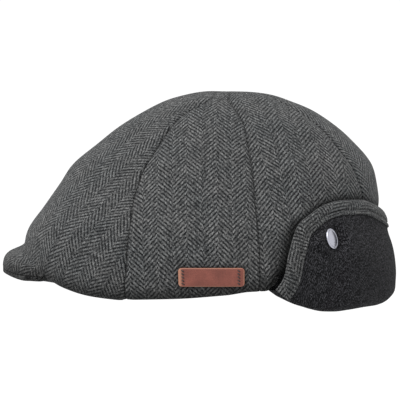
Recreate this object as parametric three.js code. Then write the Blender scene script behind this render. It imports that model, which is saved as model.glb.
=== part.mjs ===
// Earflap cap: a six-panel herringbone wool crown drawn down over a short duckbill peak, with a knitted
// ear flap turned up round the back, its free edge bound in the crown cloth, a snap on each side of it
// and a stitched leather label. Millimetres, +Z up. -Y is the front (the peak), +X the wearer's left.
// The origin is the centre of the head opening, at the height of the hem beside the ears.
// Angles round the cap are in degrees: 0 is centre front, 90 the wearer's left, 180 centre back.

import * as THREE from 'three';

// Cloth and gaps
const WOOL_THICKNESS = 2.2;
const KNIT_THICKNESS = 2.6;
const LEATHER_THICKNESS = 1.8;
const SEAM_GAP = 0.5;
const SEAT_GAP = 0.35;
const APEX_HOLE_RADIUS = 1.6;

// How a panel swells between its seams: how deep, how square across, what share of it is left at the hem,
// the height above which it is full, and the rows below the apex between which it sets in
const PUFF = { depth: 1.2, power: 0.7, atHem: 0.35, fullAbove: 25, fromRow: 0.5, fullRow: 3 };

// Seams of the six panels, as angles from centre front at a height: front panel to side panel, side
// panel to rear panel, and rear panel to back panel
const SEAMS = [
  { height: -14, front: 61.5, side: 101.8, back: 153 },
  { height: 5, front: 61.8, side: 101.8, back: 153 },
  { height: 29, front: 62.8, side: 101.7, back: 153 },
  { height: 42, front: 62.7, side: 101.4, back: 153 },
  { height: 55, front: 61.8, side: 100.6, back: 153 },
  { height: 67, front: 60, side: 99.9, back: 152.2 },
  { height: 83, front: 59, side: 99.4, back: 148.5 },
  { height: 97, front: 59.5, side: 99, back: 147 },
  { height: 110, front: 59, side: 98.7, back: 147.2 },
  { height: 120, front: 58.8, side: 98.2, back: 146.5 },
  { height: 128, front: 61.5, side: 96, back: 146.5 },
  { height: 132, front: 67.5, side: 93.8, back: 148 },
  { height: 136.3, front: 73, side: 91, back: 149 },
  { height: 140.5, front: 70, side: 94, back: 149 },
  { height: 143, front: 64, side: 98, back: 149 },
];
// The panels' widths are counted where their seams pass this height
const FOOT_HEIGHT = 10;

// The crown as level outlines, from the apex down. front, back and side are how far each outline
// reaches; square is the superellipse power of its front half and its back half.
const CROWN_LEVELS = [
  { height: 143.0, front: 0, back: 0, side: 0, frontSquare: 2.0, backSquare: 2.0 },
  { height: 142.5, front: 15, back: 16, side: 8, frontSquare: 2.0, backSquare: 2.0 },
  { height: 140.1, front: 27, back: 31, side: 16, frontSquare: 2.0, backSquare: 2.0 },
  { height: 135.2, front: 42.8, back: 43.5, side: 27, frontSquare: 2.0, backSquare: 2.0 },
  { height: 127.2, front: 58.6, back: 61.2, side: 39, frontSquare: 2.0, backSquare: 2.0 },
  { height: 117.2, front: 75.3, back: 76.6, side: 49.5, frontSquare: 2.0, backSquare: 2.0 },
  { height: 105.4, front: 90.3, back: 88.5, side: 58.7, frontSquare: 2.05, backSquare: 2.0 },
  { height: 91.6, front: 106.7, back: 100.1, side: 67, frontSquare: 2.1, backSquare: 2.05 },
  { height: 77.8, front: 115.8, back: 104.1, side: 74, frontSquare: 2.2, backSquare: 2.1 },
  { height: 62, front: 126.8, back: 105.1, side: 81, frontSquare: 2.35, backSquare: 2.1 },
  { height: 46, front: 137.8, back: 103.2, side: 87.6, frontSquare: 2.5, backSquare: 2.15 },
  { height: 30, front: 140.6, back: 103.6, side: 90.2, frontSquare: 2.6, backSquare: 2.15 },
  { height: 14, front: 139.8, back: 103.6, side: 89.8, frontSquare: 2.65, backSquare: 2.15 },
  { height: 0, front: 138, back: 103.4, side: 87, frontSquare: 2.65, backSquare: 2.15 },
  { height: -14, front: 135, back: 103, side: 84, frontSquare: 2.65, backSquare: 2.15 },
];

// Height of the crown's lower edge round the cap: low over the temples, cut up in an arch under the flap
const HEM_LINE = [
  { angle: 0, height: 16 },
  { angle: 33, height: 14.8 },
  { angle: 42, height: 7.4 },
  { angle: 51, height: 1.6 },
  { angle: 61, height: -0.7 },
  { angle: 76, height: 0 },
  { angle: 88, height: 1.8 },
  { angle: 99.5, height: 5 },
  { angle: 105, height: 6.4 },
  { angle: 107.2, height: 15 },
  { angle: 111.4, height: 18.4 },
  { angle: 114.6, height: 29 },
  { angle: 117.2, height: 38 },
  { angle: 120.4, height: 46 },
  { angle: 124.8, height: 53 },
  { angle: 131, height: 58 },
  { angle: 138, height: 60 },
  { angle: 148, height: 60 },
  { angle: 160, height: 56.5 },
  { angle: 170, height: 53.9 },
  { angle: 180, height: 52.7 },
];
const HEM_STRIP = 6;

// The lip of the duckbill, from centre front (share 0) to the corner where it dies into the hem (share 1):
// height of the crease above it, how far it reaches out of the crown, and the height of its edge seam
const LIP_CORNER = 33;
const LIP = [
  { share: 0, crease: 36.5, reach: 15.2, edge: 21 },
  { share: 0.45, crease: 32.4, reach: 13.8, edge: 18.6 },
  { share: 0.75, crease: 26, reach: 9, edge: 15.4 },
  { share: 0.92, crease: 22.2, reach: 3.6, edge: 14.6 },
  { share: 1, crease: 20.8, reach: 0, edge: 14.8 },
];
// The lip's profile is a curve from the crease to the edge seam. Its two handles: the first lies this share
// of the reach out from the crease and this far below it, and the second this far above the edge seam. The
// handles have their full effect from this reach up.
const LIP_CURVE = { out: 0.43, drop: 5, rise: 12.5, fullReach: 9 };

// The stiff peak under the front panel: where it ends on each side, its thickness, how far its rim stays
// behind the cloth's outer face, and how far it lies above the plain hem past the lip
const PEAK = { end: 58, thickness: 4.2, inside: WOOL_THICKNESS + 1.8, overHem: 4.4 };
// Its under edge that shows below the lip's seam: how far the tip comes out, and how far the tip and the
// root of the edge reach down at the corner of the lip and at its middle. At its rim the board keeps
// these shares of its half thickness above and below.
const PEAK_EDGE = {
  least: 0.2,
  fullReach: 4,
  tipAtCorner: 1.5,
  tipAtMiddle: 2.5,
  rootAtCorner: 1.8,
  rootAtMiddle: 3.7,
  boardTop: 0.3,
  boardUnder: 1.6,
};
// Its inner rim against the forehead, as part of an ellipse
const FOREHEAD = { side: 88, front: 106, endAngle: 50, centreHeight: 12, endHeight: 3, wave: 1.6 };

// The knitted flap, half of it, from the front corner to centre back. Each row is a line across the cloth:
// the free edge, the fold at the bottom and the end inside the crown, by angle and height.
const FLAP_LINES = [
  { edge: 108, edgeHeight: 5.9, fold: 108.3, foldHeight: 2, inside: 107.5, insideHeight: 24 },
  { edge: 111.3, edgeHeight: 15.6, fold: 112.6, foldHeight: -1.6, inside: 111, insideHeight: 42 },
  { edge: 112.6, edgeHeight: 27.6, fold: 117, foldHeight: -4.9, inside: 115, insideHeight: 54 },
  { edge: 114.2, edgeHeight: 37.9, fold: 121.4, foldHeight: -6.9, inside: 119.5, insideHeight: 62 },
  { edge: 116.4, edgeHeight: 47.7, fold: 126.4, foldHeight: -8, inside: 124.5, insideHeight: 68 },
  { edge: 120.5, edgeHeight: 54.2, fold: 131.4, foldHeight: -8.1, inside: 130, insideHeight: 69 },
  { edge: 127.4, edgeHeight: 61.6, fold: 138.2, foldHeight: -7.2, inside: 137, insideHeight: 71 },
  { edge: 136, edgeHeight: 64.6, fold: 145, foldHeight: -6.3, inside: 144.5, insideHeight: 71.5 },
  { edge: 147, edgeHeight: 65.1, fold: 153, foldHeight: -5.7, inside: 153, insideHeight: 71 },
  { edge: 160, edgeHeight: 61.5, fold: 163, foldHeight: -4.7, inside: 163, insideHeight: 69.5 },
  { edge: 170, edgeHeight: 58.9, fold: 171.5, foldHeight: -3.6, inside: 171.5, insideHeight: 70 },
  { edge: 180, edgeHeight: 57.6, fold: 180, foldHeight: -3.4, inside: 180, insideHeight: 68 },
];
const FLAP_INNER_OFFSET = -4.9;
// Where the knit's offset is read for its fold: this far above the fold, and no lower than this height.
// The fold's centre stays this far under the free edge.
const FOLD_READ = { above: 8, lowest: 4, underEdge: 0.6 };
// How far the flap's outer face stands off the crown beside the ears and at the back, by distance in
// from its free edge. The back's figures take over between two angles.
const FLAP_SWELL = [
  { depth: 0, beside: 3.2, back: 3.2 },
  { depth: 4, beside: 3.5, back: 4.8 },
  { depth: 9, beside: 4.2, back: 7.3 },
  { depth: 14, beside: 5.1, back: 8.3 },
  { depth: 22, beside: 6.7, back: 10 },
  { depth: 31, beside: 8.2, back: 11.9 },
  { depth: 44, beside: 9.3, back: 13.6 },
  { depth: 65, beside: 9.6, back: 13.6 },
];
const FLAP_BACK_FROM = 118;
const FLAP_BACK_FULL = 168;

// The binding's section, as pairs of outer and inner points: depth in from the free edge, and height over
// the knit. A round bead first, then a groove and a narrow second row.
const BINDING_SECTION = [
  { outerDepth: -0.9, outerRise: -2.4, innerDepth: -0.5, innerRise: -2.4 },
  { outerDepth: -1.5, outerRise: -0.9, innerDepth: -0.5, innerRise: -1.2 },
  { outerDepth: -0.7, outerRise: 0.7, innerDepth: -0.5, innerRise: 0.3 },
  { outerDepth: 1.0, outerRise: 1.6, innerDepth: 0.8, innerRise: 0.6 },
  { outerDepth: 3.0, outerRise: 1.9, innerDepth: 3.0, innerRise: 0.6 },
  { outerDepth: 5.0, outerRise: 1.7, innerDepth: 5.0, innerRise: 0.6 },
  { outerDepth: 6.1, outerRise: 1.1, innerDepth: 6.1, innerRise: 0.6 },
  { outerDepth: 7.0, outerRise: 1.4, innerDepth: 7.0, innerRise: 0.6 },
  { outerDepth: 8.2, outerRise: 1.35, innerDepth: 8.2, innerRise: 0.6 },
  { outerDepth: 9.2, outerRise: 1.0, innerDepth: 9.2, innerRise: 0.6 },
];
// The binding's ends are cut askew along the flap's lower edge, over this much of its first lines
const BINDING_END = { slant: 20, lines: 1.2 };
// Steps along the flap's lines and round the crown between which the edge's direction is read
const EDGE_STEP = { lines: 0.05, angle: 0.5 };

// Snap on each side of the flap, and its rolled rim: how wide it is, and the heights of its round lower
// corner, its shoulder, its top and the dip inside it
const SNAP = { angle: 127.3, height: 40.4, radius: 7.2, rise: 2.0, turnFromSide: 50, tiltUp: 7, sides: 28 };
const SNAP_RIM = { depth: 1.3, base: 0.5, shoulder: 1.1, top: 1.4, dip: 1.25 };
// The flat that the snap lies on: how far it stands off the crown, its radii, and the distances in from the
// flap's edge between which it takes over from the plain knit
const SNAP_SEAT = { offset: 6.0, flatRadius: 8.2, blendRadius: 13.5, from: 11, full: 15 };

// Leather label on the wearer's left
const LABEL = { centreY: -11.3, height: 15.5, length: 44, width: 12.1, corner: 2.2, cornerLeast: 0.2 };

const WOOL = { color: 0x4f5151, roughness: 0.95, metalness: 0 };
const KNIT = { color: 0x2a2a2c, roughness: 0.95, metalness: 0 };
const LEATHER = { color: 0x7d4636, roughness: 0.55, metalness: 0 };
const NICKEL = { color: 0xc9cbd2, roughness: 0.25, metalness: 1 };

const radians = (degrees) => THREE.MathUtils.degToRad(degrees);
const { lerp, clamp, smoothstep } = THREE.MathUtils;

/** A function that reads a table between its rows, by monotone cubics that never overshoot. */
function curveThrough(rows, key) {
  const xs = rows.map((row) => row[key]);
  const names = Object.keys(rows[0]).filter((name) => name !== key);
  const last = xs.length - 1;
  const columns = names.map((name) => {
    const ys = rows.map((row) => row[name]);
    const chord = ys.slice(1).map((y, i) => (y - ys[i]) / (xs[i + 1] - xs[i]));
    const slope = ys.map((y, i) => {
      if (i === 0) return chord[0];
      if (i === last) return chord[last - 1];
      if (chord[i - 1] * chord[i] <= 0) return 0;
      return (2 * chord[i - 1] * chord[i]) / (chord[i - 1] + chord[i]);
    });
    return { name, ys, slope };
  });
  return (x) => {
    const at = clamp(x, xs[0], xs[last]);
    let i = 0;
    while (i < last - 1 && at > xs[i + 1]) i += 1;
    const span = xs[i + 1] - xs[i];
    const u = (at - xs[i]) / span;
    const found = {};
    for (const { name, ys, slope } of columns) {
      found[name] =
        (1 + 2 * u) * (1 - u) ** 2 * ys[i] +
        u * (1 - u) ** 2 * span * slope[i] +
        u * u * (3 - 2 * u) * ys[i + 1] +
        u * u * (u - 1) * span * slope[i + 1];
    }
    return found;
  };
}

/** One column of the crown's levels at a row number with a fraction, mirrored through the apex. */
function crownColumn(name, row) {
  const mirrored = name === 'front' || name === 'back' || name === 'side' ? -1 : 1;
  const last = CROWN_LEVELS.length - 1;
  const value = (k) => (k < 0 ? mirrored * CROWN_LEVELS[-k][name] : CROWN_LEVELS[Math.min(k, last)][name]);
  const i = clamp(Math.floor(row), 0, last - 1);
  const u = row - i;
  const [a, b, c, d] = [value(i - 1), value(i), value(i + 1), value(i + 2)];
  return 0.5 * (2 * b + (c - a) * u + (2 * a - 5 * b + 4 * c - d) * u * u + (3 * b - a - 3 * c + d) * u ** 3);
}

/** The row number at which the crown has this height. */
function rowAtHeight(height) {
  let [low, high] = [0, CROWN_LEVELS.length - 1];
  for (let step = 0; step < 36; step += 1) {
    const middle = (low + high) / 2;
    if (crownColumn('height', middle) > height) low = middle;
    else high = middle;
  }
  return (low + high) / 2;
}

/** The crown without its panels' swelling. */
function bareCrown(angle, row) {
  const sine = Math.sin(radians(angle));
  const cosine = Math.cos(radians(angle));
  const ahead = cosine > 0;
  const power = crownColumn(ahead ? 'frontSquare' : 'backSquare', row);
  const reach = crownColumn(ahead ? 'front' : 'back', row);
  const stretch = (Math.abs(sine) ** power + Math.abs(cosine) ** power) ** (-1 / power);
  const x = stretch * crownColumn('side', row) * sine;
  return new THREE.Vector3(x, -stretch * reach * cosine, crownColumn('height', row));
}

// Steps to either side of a point between which a surface's slope is read, and the row above which the
// surface is level
const SLOPE_STEP = { angle: 0.4, row: 0.02, levelAbove: 0.05 };

/** The outward normal of a surface given as a function of angle and row. */
function normalOf(surface, angle, row) {
  if (row < SLOPE_STEP.levelAbove) return new THREE.Vector3(0, 0, 1);
  const { angle: turn, row: drop } = SLOPE_STEP;
  const around = surface(angle + turn, row).sub(surface(angle - turn, row));
  const down = surface(angle, row + drop).sub(surface(angle, row - drop));
  return down.cross(around).normalize();
}

const seamsAt = curveThrough(SEAMS, 'height');

/** How far round from centre front an angle is, whichever way it was counted. */
const fromFront = (angle) => (Math.abs(angle) > 180 ? 360 - Math.abs(angle) : Math.abs(angle));

/** How far a panel swells between its seams: nothing on a seam, and little at the apex and the hem. */
function panelPuff(angle, row) {
  const height = crownColumn('height', row);
  const { front, side, back } = seamsAt(height);
  const turned = fromFront(angle);
  const seams = [-front, front, side, back, 360 - back];
  const i = turned < front ? 0 : turned < side ? 1 : turned < back ? 2 : 3;
  const share = (turned - seams[i]) / (seams[i + 1] - seams[i]);
  const lower = lerp(PUFF.atHem, 1, smoothstep(height, 0, PUFF.fullAbove));
  const fade = smoothstep(row, PUFF.fromRow, PUFF.fullRow) * lower;
  return PUFF.depth * fade * Math.sin(Math.PI * clamp(share, 0, 1)) ** PUFF.power;
}

/** The crown's outer face. */
function crown(angle, row) {
  const base = bareCrown(angle, row);
  return base.addScaledVector(normalOf(bareCrown, angle, row), panelPuff(angle, row));
}

/** A point at a height on the crown, or that far off its outer face. */
function onCrown(angle, height, offset = 0) {
  const row = rowAtHeight(height);
  const point = crown(angle, row);
  return offset ? point.addScaledVector(normalOf(crown, angle, row), offset) : point;
}

/** A closed solid between two grids of points of the same size. */
function solidBetween(outer, inner) {
  const [across, along] = [outer.length, outer[0].length];
  const points = [...outer.flat(), ...inner.flat()];
  const at = (side, i, j) => (side * across + i) * along + j;
  const faces = [];
  const quad = (a, b, c, d) => faces.push(a, b, c, a, c, d);
  for (let i = 0; i < across - 1; i += 1) {
    for (let j = 0; j < along - 1; j += 1) {
      quad(at(0, i, j), at(0, i + 1, j), at(0, i + 1, j + 1), at(0, i, j + 1));
      quad(at(1, i, j), at(1, i, j + 1), at(1, i + 1, j + 1), at(1, i + 1, j));
    }
    quad(at(0, i, 0), at(1, i, 0), at(1, i + 1, 0), at(0, i + 1, 0));
    quad(at(0, i + 1, along - 1), at(1, i + 1, along - 1), at(1, i, along - 1), at(0, i, along - 1));
  }
  for (let j = 0; j < along - 1; j += 1) {
    quad(at(0, 0, j + 1), at(1, 0, j + 1), at(1, 0, j), at(0, 0, j));
    quad(at(0, across - 1, j), at(1, across - 1, j), at(1, across - 1, j + 1), at(0, across - 1, j + 1));
  }
  let volume = 0;
  for (let k = 0; k < faces.length; k += 3) {
    const [a, b, c] = [points[faces[k]], points[faces[k + 1]], points[faces[k + 2]]];
    volume += a.dot(b.clone().cross(c)) / 6;
  }
  if (volume < 0) faces.reverse();
  const geometry = new THREE.BufferGeometry();
  geometry.setAttribute('position', new THREE.Float32BufferAttribute(points.flatMap((p) => p.toArray()), 3));
  geometry.setIndex(faces);
  return geometry;
}

function piece(name, geometry, look) {
  geometry.computeVertexNormals();
  const mesh = new THREE.Mesh(geometry, new THREE.MeshStandardMaterial(look));
  mesh.name = name;
  return mesh;
}

/** The same solid on the wearer's other side. */
function mirrored(geometry) {
  const copy = geometry.clone().scale(-1, 1, 1);
  copy.setIndex([...copy.index.array].reverse());
  return copy;
}

const hemHeight = curveThrough(HEM_LINE, 'angle');
const lipAt = curveThrough(LIP, 'share');

/** The front panel below its crease: over the lip to the edge seam, or plain cloth down to the hem. */
function lip(angle, share) {
  const side = fromFront(angle);
  if (side >= LIP_CORNER) {
    const hem = hemHeight(side).height;
    return onCrown(angle, lerp(hem + HEM_STRIP, hem, share));
  }
  const { crease, reach, edge } = lipAt(side / LIP_CORNER);
  const start = onCrown(angle, crease);
  const end = lipEdge(angle, reach, edge);
  const fullness = smoothstep(reach, 0, LIP_CURVE.fullReach);
  const neck = start.clone().lerp(end.clone().setZ(start.z), LIP_CURVE.out);
  neck.z -= LIP_CURVE.drop;
  const first = start.clone().lerp(end, 1 / 3).lerp(neck, fullness);
  const second = start.clone().lerp(end, 2 / 3).lerp(end.clone().setZ(edge + LIP_CURVE.rise), fullness);
  return new THREE.CubicBezierCurve3(start, first, second, end).getPoint(share);
}

/** The lip's edge seam, pushed straight out of the crown. */
function lipEdge(angle, reach, height) {
  const point = onCrown(angle, height);
  const out = normalOf(crown, angle, rowAtHeight(height)).setZ(0).normalize();
  return point.addScaledVector(out, reach);
}

/** Height of a panel's last plain row: the crease over the lip, or the top of the hem strip. */
function plainFoot(angle) {
  const side = fromFront(angle);
  return side < LIP_CORNER ? lipAt(side / LIP_CORNER).crease : hemHeight(side).height + HEM_STRIP;
}

/**
 * A crown panel. sides gives its two seam angles from a row of SEAMS, stops are shares of its width and
 * footRows the rows below the crease or the hem strip.
 */
function panel(sides, stops, footRows) {
  const crownRows = 12;
  const crowding = 0.9;
  const radiusAt = (row) => Math.max(crownColumn('side', row), 0.1);
  const firstRow = APEX_HOLE_RADIUS / CROWN_LEVELS[1].side;
  const place = (share, row) => {
    const [from, to] = sides(seamsAt(crownColumn('height', row)));
    const inset = THREE.MathUtils.radToDeg(SEAM_GAP / 2 / radiusAt(row));
    return lerp(from + inset, to - inset, share);
  };
  const footRow = rowAtHeight(FOOT_HEIGHT);
  const face = (share, k) => {
    const foot = place(share, footRow);
    const plain = rowAtHeight(plainFoot(foot));
    if (k <= crownRows) {
      const row = lerp(firstRow, plain, (k / crownRows) ** crowding);
      return crown(place(share, row), row);
    }
    return lip(place(share, plain), (k - crownRows) / footRows);
  };
  const outer = stops.map((share) =>
    Array.from({ length: crownRows + footRows + 1 }, (_, k) => face(share, k)),
  );
  return solidBetween(outer, thickened(outer, WOOL_THICKNESS));
}

/** The inner face of a cloth wall: each point of the outer grid moved in along its normal. */
function thickened(outer, thickness) {
  const [across, along] = [outer.length, outer[0].length];
  return outer.map((line, i) =>
    line.map((point, j) => {
      const around = outer[Math.min(i + 1, across - 1)][j].clone().sub(outer[Math.max(i - 1, 0)][j]);
      const down = line[Math.min(j + 1, along - 1)].clone().sub(line[Math.max(j - 1, 0)]);
      const inner = point.clone().addScaledVector(down.cross(around).normalize(), -thickness);
      return j === along - 1 ? inner.setZ(Math.max(inner.z, point.z)) : inner;
    }),
  );
}

const footSeams = seamsAt(FOOT_HEIGHT);
const evenly = (count) => Array.from({ length: count + 1 }, (_, k) => k / count);
const FRONT_STATIONS = [7, 14, 20, 25, 29, LIP_CORNER, 37, 42, 48, 54];

function frontPanel() {
  const half = [...FRONT_STATIONS, footSeams.front].map((angle) => angle / footSeams.front / 2);
  const stops = [...half.map((share) => 0.5 - share).reverse(), 0.5, ...half.map((share) => 0.5 + share)];
  return panel(({ front }) => [-front, front], stops, 5);
}

function sidePanel() {
  return panel(({ front, side }) => [front, side], evenly(9), 2);
}

function rearPanel() {
  const width = footSeams.back - footSeams.side;
  const inwards = [0, 1.8, 3.3, 5.3, 7.5, 9.6, 11.6, 13.8, 16.4, 19.8, 25.2, 32.2, 41.2, width];
  return panel(({ side, back }) => [side, back], inwards.map((angle) => angle / width), 2);
}

function backPanel() {
  return panel(({ back }) => [back, 360 - back], evenly(10), 2);
}

/** The stiff peak: a crescent from the forehead out to the lip, its under edge showing below the seam. */
function peak() {
  const stations = [...FRONT_STATIONS, PEAK.end];
  const angles = [...stations.map((angle) => -angle).reverse(), 0, ...stations];
  const lines = angles.map((angle) => {
    const side = Math.abs(angle);
    const onLip = side <= LIP_CORNER;
    const { reach, edge } = onLip ? lipAt(side / LIP_CORNER) : { reach: 0, edge: 0 };
    const height = onLip ? edge : hemHeight(side).height + PEAK.overHem;
    const rim = lipEdge(angle, reach, height);
    const out = normalOf(crown, angle, rowAtHeight(height)).setZ(0).normalize();
    const turn = radians((angle * FOREHEAD.endAngle) / PEAK.end);
    const rise = lerp(FOREHEAD.endHeight, FOREHEAD.centreHeight, Math.cos(turn * FOREHEAD.wave) ** 2);
    const brow = new THREE.Vector3(FOREHEAD.side * Math.sin(turn), -FOREHEAD.front * Math.cos(turn), rise);
    const ledge = lerp(PEAK_EDGE.least, PEAK.inside, smoothstep(reach, 0, PEAK_EDGE.fullReach));
    const back = rim.clone().addScaledVector(out, -PEAK.inside);
    const tip = back.clone().addScaledVector(out, ledge);
    const half = PEAK.thickness / 2;
    const board = [0, 0.3, 0.6, 0.85, 1].map((share) => {
      const middle = brow.clone().lerp(back, share);
      return {
        top: middle.clone().setZ(middle.z + half * (share < 1 ? 1 : PEAK_EDGE.boardTop)),
        under: middle.clone().setZ(middle.z - half * (share < 1 ? 1 : PEAK_EDGE.boardUnder)),
      };
    });
    const middling = smoothstep(reach, 0, LIP_CURVE.fullReach);
    const root = height - lerp(PEAK_EDGE.rootAtCorner, PEAK_EDGE.rootAtMiddle, middling);
    const low = height - lerp(PEAK_EDGE.tipAtCorner, PEAK_EDGE.tipAtMiddle, middling);
    const high = height - 2 * SEAM_GAP;
    board.push({ top: back.clone().setZ(high), under: back.clone().lerp(tip, 0.5).setZ(root) });
    board.push({ top: tip.clone().setZ(high), under: tip.clone().setZ(low) });
    return board;
  });
  return solidBetween(
    lines.map((line) => line.map((pair) => pair.top)),
    lines.map((line) => line.map((pair) => pair.under)),
  );
}

const flapLine = curveThrough(FLAP_LINES.map((row, line) => ({ line, ...row })), 'line');
const flapSwell = curveThrough(FLAP_SWELL, 'depth');
const FLAP_END = FLAP_LINES.length - 1;
const edgeTrail = Array.from({ length: 161 }, (_, k) => {
  const { edge, edgeHeight } = flapLine((k / 160) * FLAP_END);
  return onCrown(edge, edgeHeight);
});

const snapMiddle = onCrown(SNAP.angle, SNAP.height);
const snapNormal = normalOf(crown, SNAP.angle, rowAtHeight(SNAP.height));
const snapFacing = new THREE.Vector3(
  Math.cos(radians(SNAP.turnFromSide)) * Math.cos(radians(SNAP.tiltUp)),
  Math.sin(radians(SNAP.turnFromSide)) * Math.cos(radians(SNAP.tiltUp)),
  Math.sin(radians(SNAP.tiltUp)),
);

/** How far the outer face of the knit stands off the crown. Round the snap it is flat, facing as it does. */
function flapOffset(angle, height) {
  const point = onCrown(angle, height);
  const depth = Math.min(...edgeTrail.map((trail) => trail.distanceTo(point)));
  const away = point.sub(snapMiddle);
  const drop = away.dot(snapNormal);
  const flat = away.addScaledVector(snapNormal, -drop);
  const seat = SNAP_SEAT.offset - drop - flat.dot(snapFacing) / snapNormal.dot(snapFacing);
  const near = 1 - smoothstep(flat.length(), SNAP_SEAT.flatRadius, SNAP_SEAT.blendRadius);
  const swell = flapSwell(depth);
  const offset = lerp(swell.beside, swell.back, smoothstep(fromFront(angle), FLAP_BACK_FROM, FLAP_BACK_FULL));
  return lerp(offset, seat, near * smoothstep(depth, SNAP_SEAT.from, SNAP_SEAT.full));
}

/** A line across the flap: pairs of points down its outer leg, round the fold and up inside the crown. */
function flapPairs(line) {
  const row = flapLine(line);
  const half = KNIT_THICKNESS / 2;
  const lowOffset = flapOffset(row.fold, Math.max(row.foldHeight + FOLD_READ.above, FOLD_READ.lowest)) - half;
  const radius = (lowOffset - FLAP_INNER_OFFSET) / 2;
  const foldCentre = Math.min(row.foldHeight + half + radius, row.edgeHeight - FOLD_READ.underEdge);
  const pairs = [];
  const add = (angle, height, offset, leanOut, leanUp) => {
    const place = (sign) => onCrown(angle, height + sign * half * leanUp, offset + sign * half * leanOut);
    pairs.push({ outer: place(1), inner: place(-1) });
  };
  for (const share of [0, 0.07, 0.14, 0.2, 0.27, 0.34, 0.41, 0.5, 0.64, 0.82]) {
    const angle = lerp(row.edge, row.fold, share);
    const height = lerp(row.edgeHeight, foldCentre, share);
    add(angle, height, flapOffset(angle, height) - half, 1, 0);
  }
  for (let k = 0; k <= 5; k += 1) {
    const turn = (Math.PI * k) / 5;
    const offset = (lowOffset + FLAP_INNER_OFFSET) / 2 + radius * Math.cos(turn);
    add(row.fold, foldCentre - radius * Math.sin(turn), offset, Math.cos(turn), -Math.sin(turn));
  }
  for (const share of [0.35, 0.7, 1]) {
    const angle = lerp(row.fold, row.inside, share);
    add(angle, lerp(foldCentre, row.insideHeight, share), FLAP_INNER_OFFSET, -1, 0);
  }
  return pairs;
}

/** Both halves of a swept piece, joined at centre back. */
function bothSides(lines) {
  const flip = (pair) => ({
    outer: pair.outer.clone().setX(-pair.outer.x),
    inner: pair.inner.clone().setX(-pair.inner.x),
  });
  const other = lines.slice(0, -1).reverse();
  const all = [...lines, ...other.map((line) => line.map(flip))];
  return solidBetween(
    all.map((line) => line.map((pair) => pair.outer)),
    all.map((line) => line.map((pair) => pair.inner)),
  );
}

// Lines of the flap at which it is cut into facets, closer together past the snap
const flapStations = [
  0, 0.5, 1, 1.5, 2, 2.5, 3, 3.5, 4, 4.4, 4.8, 5.1, 5.4, 5.7, 6, 6.3, 6.7, 7.3, 8, 8.7, 9.4, 10.2, 11,
];

function earflap() {
  return bothSides(flapStations.map(flapPairs));
}

/** The herringbone binding over the flap's free edge. */
function earflapBinding() {
  const lines = flapStations.map((line) => {
    const here = flapLine(line);
    const before = flapLine(Math.max(line - EDGE_STEP.lines, 0));
    const after = flapLine(Math.min(line + EDGE_STEP.lines, FLAP_END));
    const row = rowAtHeight(here.edgeHeight);
    const [ahead, behind] = [here.edge + EDGE_STEP.angle, here.edge - EDGE_STEP.angle];
    const perDegree = crown(ahead, row).distanceTo(crown(behind, row)) / (ahead - behind);
    const run = (after.edge - before.edge) * perDegree;
    const climb = after.edgeHeight - before.edgeHeight;
    const slant = radians(BINDING_END.slant) * (1 - smoothstep(line, 0, BINDING_END.lines));
    const inward = Math.atan2(-run, climb) - slant;
    const point = (depth, rise) => {
      const angle = here.edge + (depth * Math.cos(inward)) / perDegree;
      const height = here.edgeHeight + depth * Math.sin(inward);
      const knit = depth < 0 ? flapOffset(here.edge, here.edgeHeight) : flapOffset(angle, height);
      return onCrown(angle, height, knit + rise);
    };
    return BINDING_SECTION.map((pair) => ({
      outer: point(pair.outerDepth, pair.outerRise),
      inner: point(pair.innerDepth, pair.innerRise),
    }));
  });
  return bothSides(lines);
}

/** A domed snap cap with a rolled rim, turned about its axis and laid on the knit. */
function snap() {
  const { radius, rise } = SNAP;
  const { depth, base, shoulder, top, dip } = SNAP_RIM;
  const profile = [
    new THREE.Vector2(0, 0),
    new THREE.Vector2(radius - base, 0),
    new THREE.Vector2(radius, base),
    new THREE.Vector2(radius, shoulder),
    new THREE.Vector2(radius - depth / 2, top),
    new THREE.Vector2(radius - depth, dip),
    new THREE.Vector2(radius / 2, lerp(dip, rise, 0.8)),
    new THREE.Vector2(0, rise),
  ];
  const seat = onCrown(SNAP.angle, SNAP.height, SNAP_SEAT.offset).addScaledVector(snapFacing, 2 * SEAT_GAP);
  const turn = new THREE.Quaternion().setFromUnitVectors(new THREE.Vector3(0, 1, 0), snapFacing);
  return new THREE.LatheGeometry(profile, SNAP.sides).applyQuaternion(turn).translate(...seat.toArray());
}

/** The leather label, bent round the side panel, with its corners rounded. */
function label() {
  const { centreY, height, length, width, corner, cornerLeast } = LABEL;
  const halfLength = length / 2;
  const stops = [-1, -0.99, -0.965, -0.93, -0.9, -0.6, -0.3, 0, 0.3, 0.6, 0.9, 0.93, 0.965, 0.99, 1];
  const angleAtY = (y) => {
    let [low, high] = [footSeams.front, footSeams.side];
    for (let step = 0; step < 30; step += 1) {
      const middle = (low + high) / 2;
      if (onCrown(middle, height).y < y) low = middle;
      else high = middle;
    }
    return low;
  };
  const grid = (offset) =>
    stops.map((stop) => {
      const beyond = Math.max(Math.abs(stop) * halfLength - (halfLength - corner), 0);
      const half = width / 2 - corner + Math.max(Math.sqrt(corner ** 2 - beyond ** 2), cornerLeast);
      const angle = angleAtY(centreY + stop * halfLength);
      return [-1, -0.5, 0, 0.5, 1].map((up) => onCrown(angle, height + up * half, offset));
    });
  return solidBetween(grid(SEAT_GAP + LEATHER_THICKNESS), grid(SEAT_GAP));
}

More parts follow.
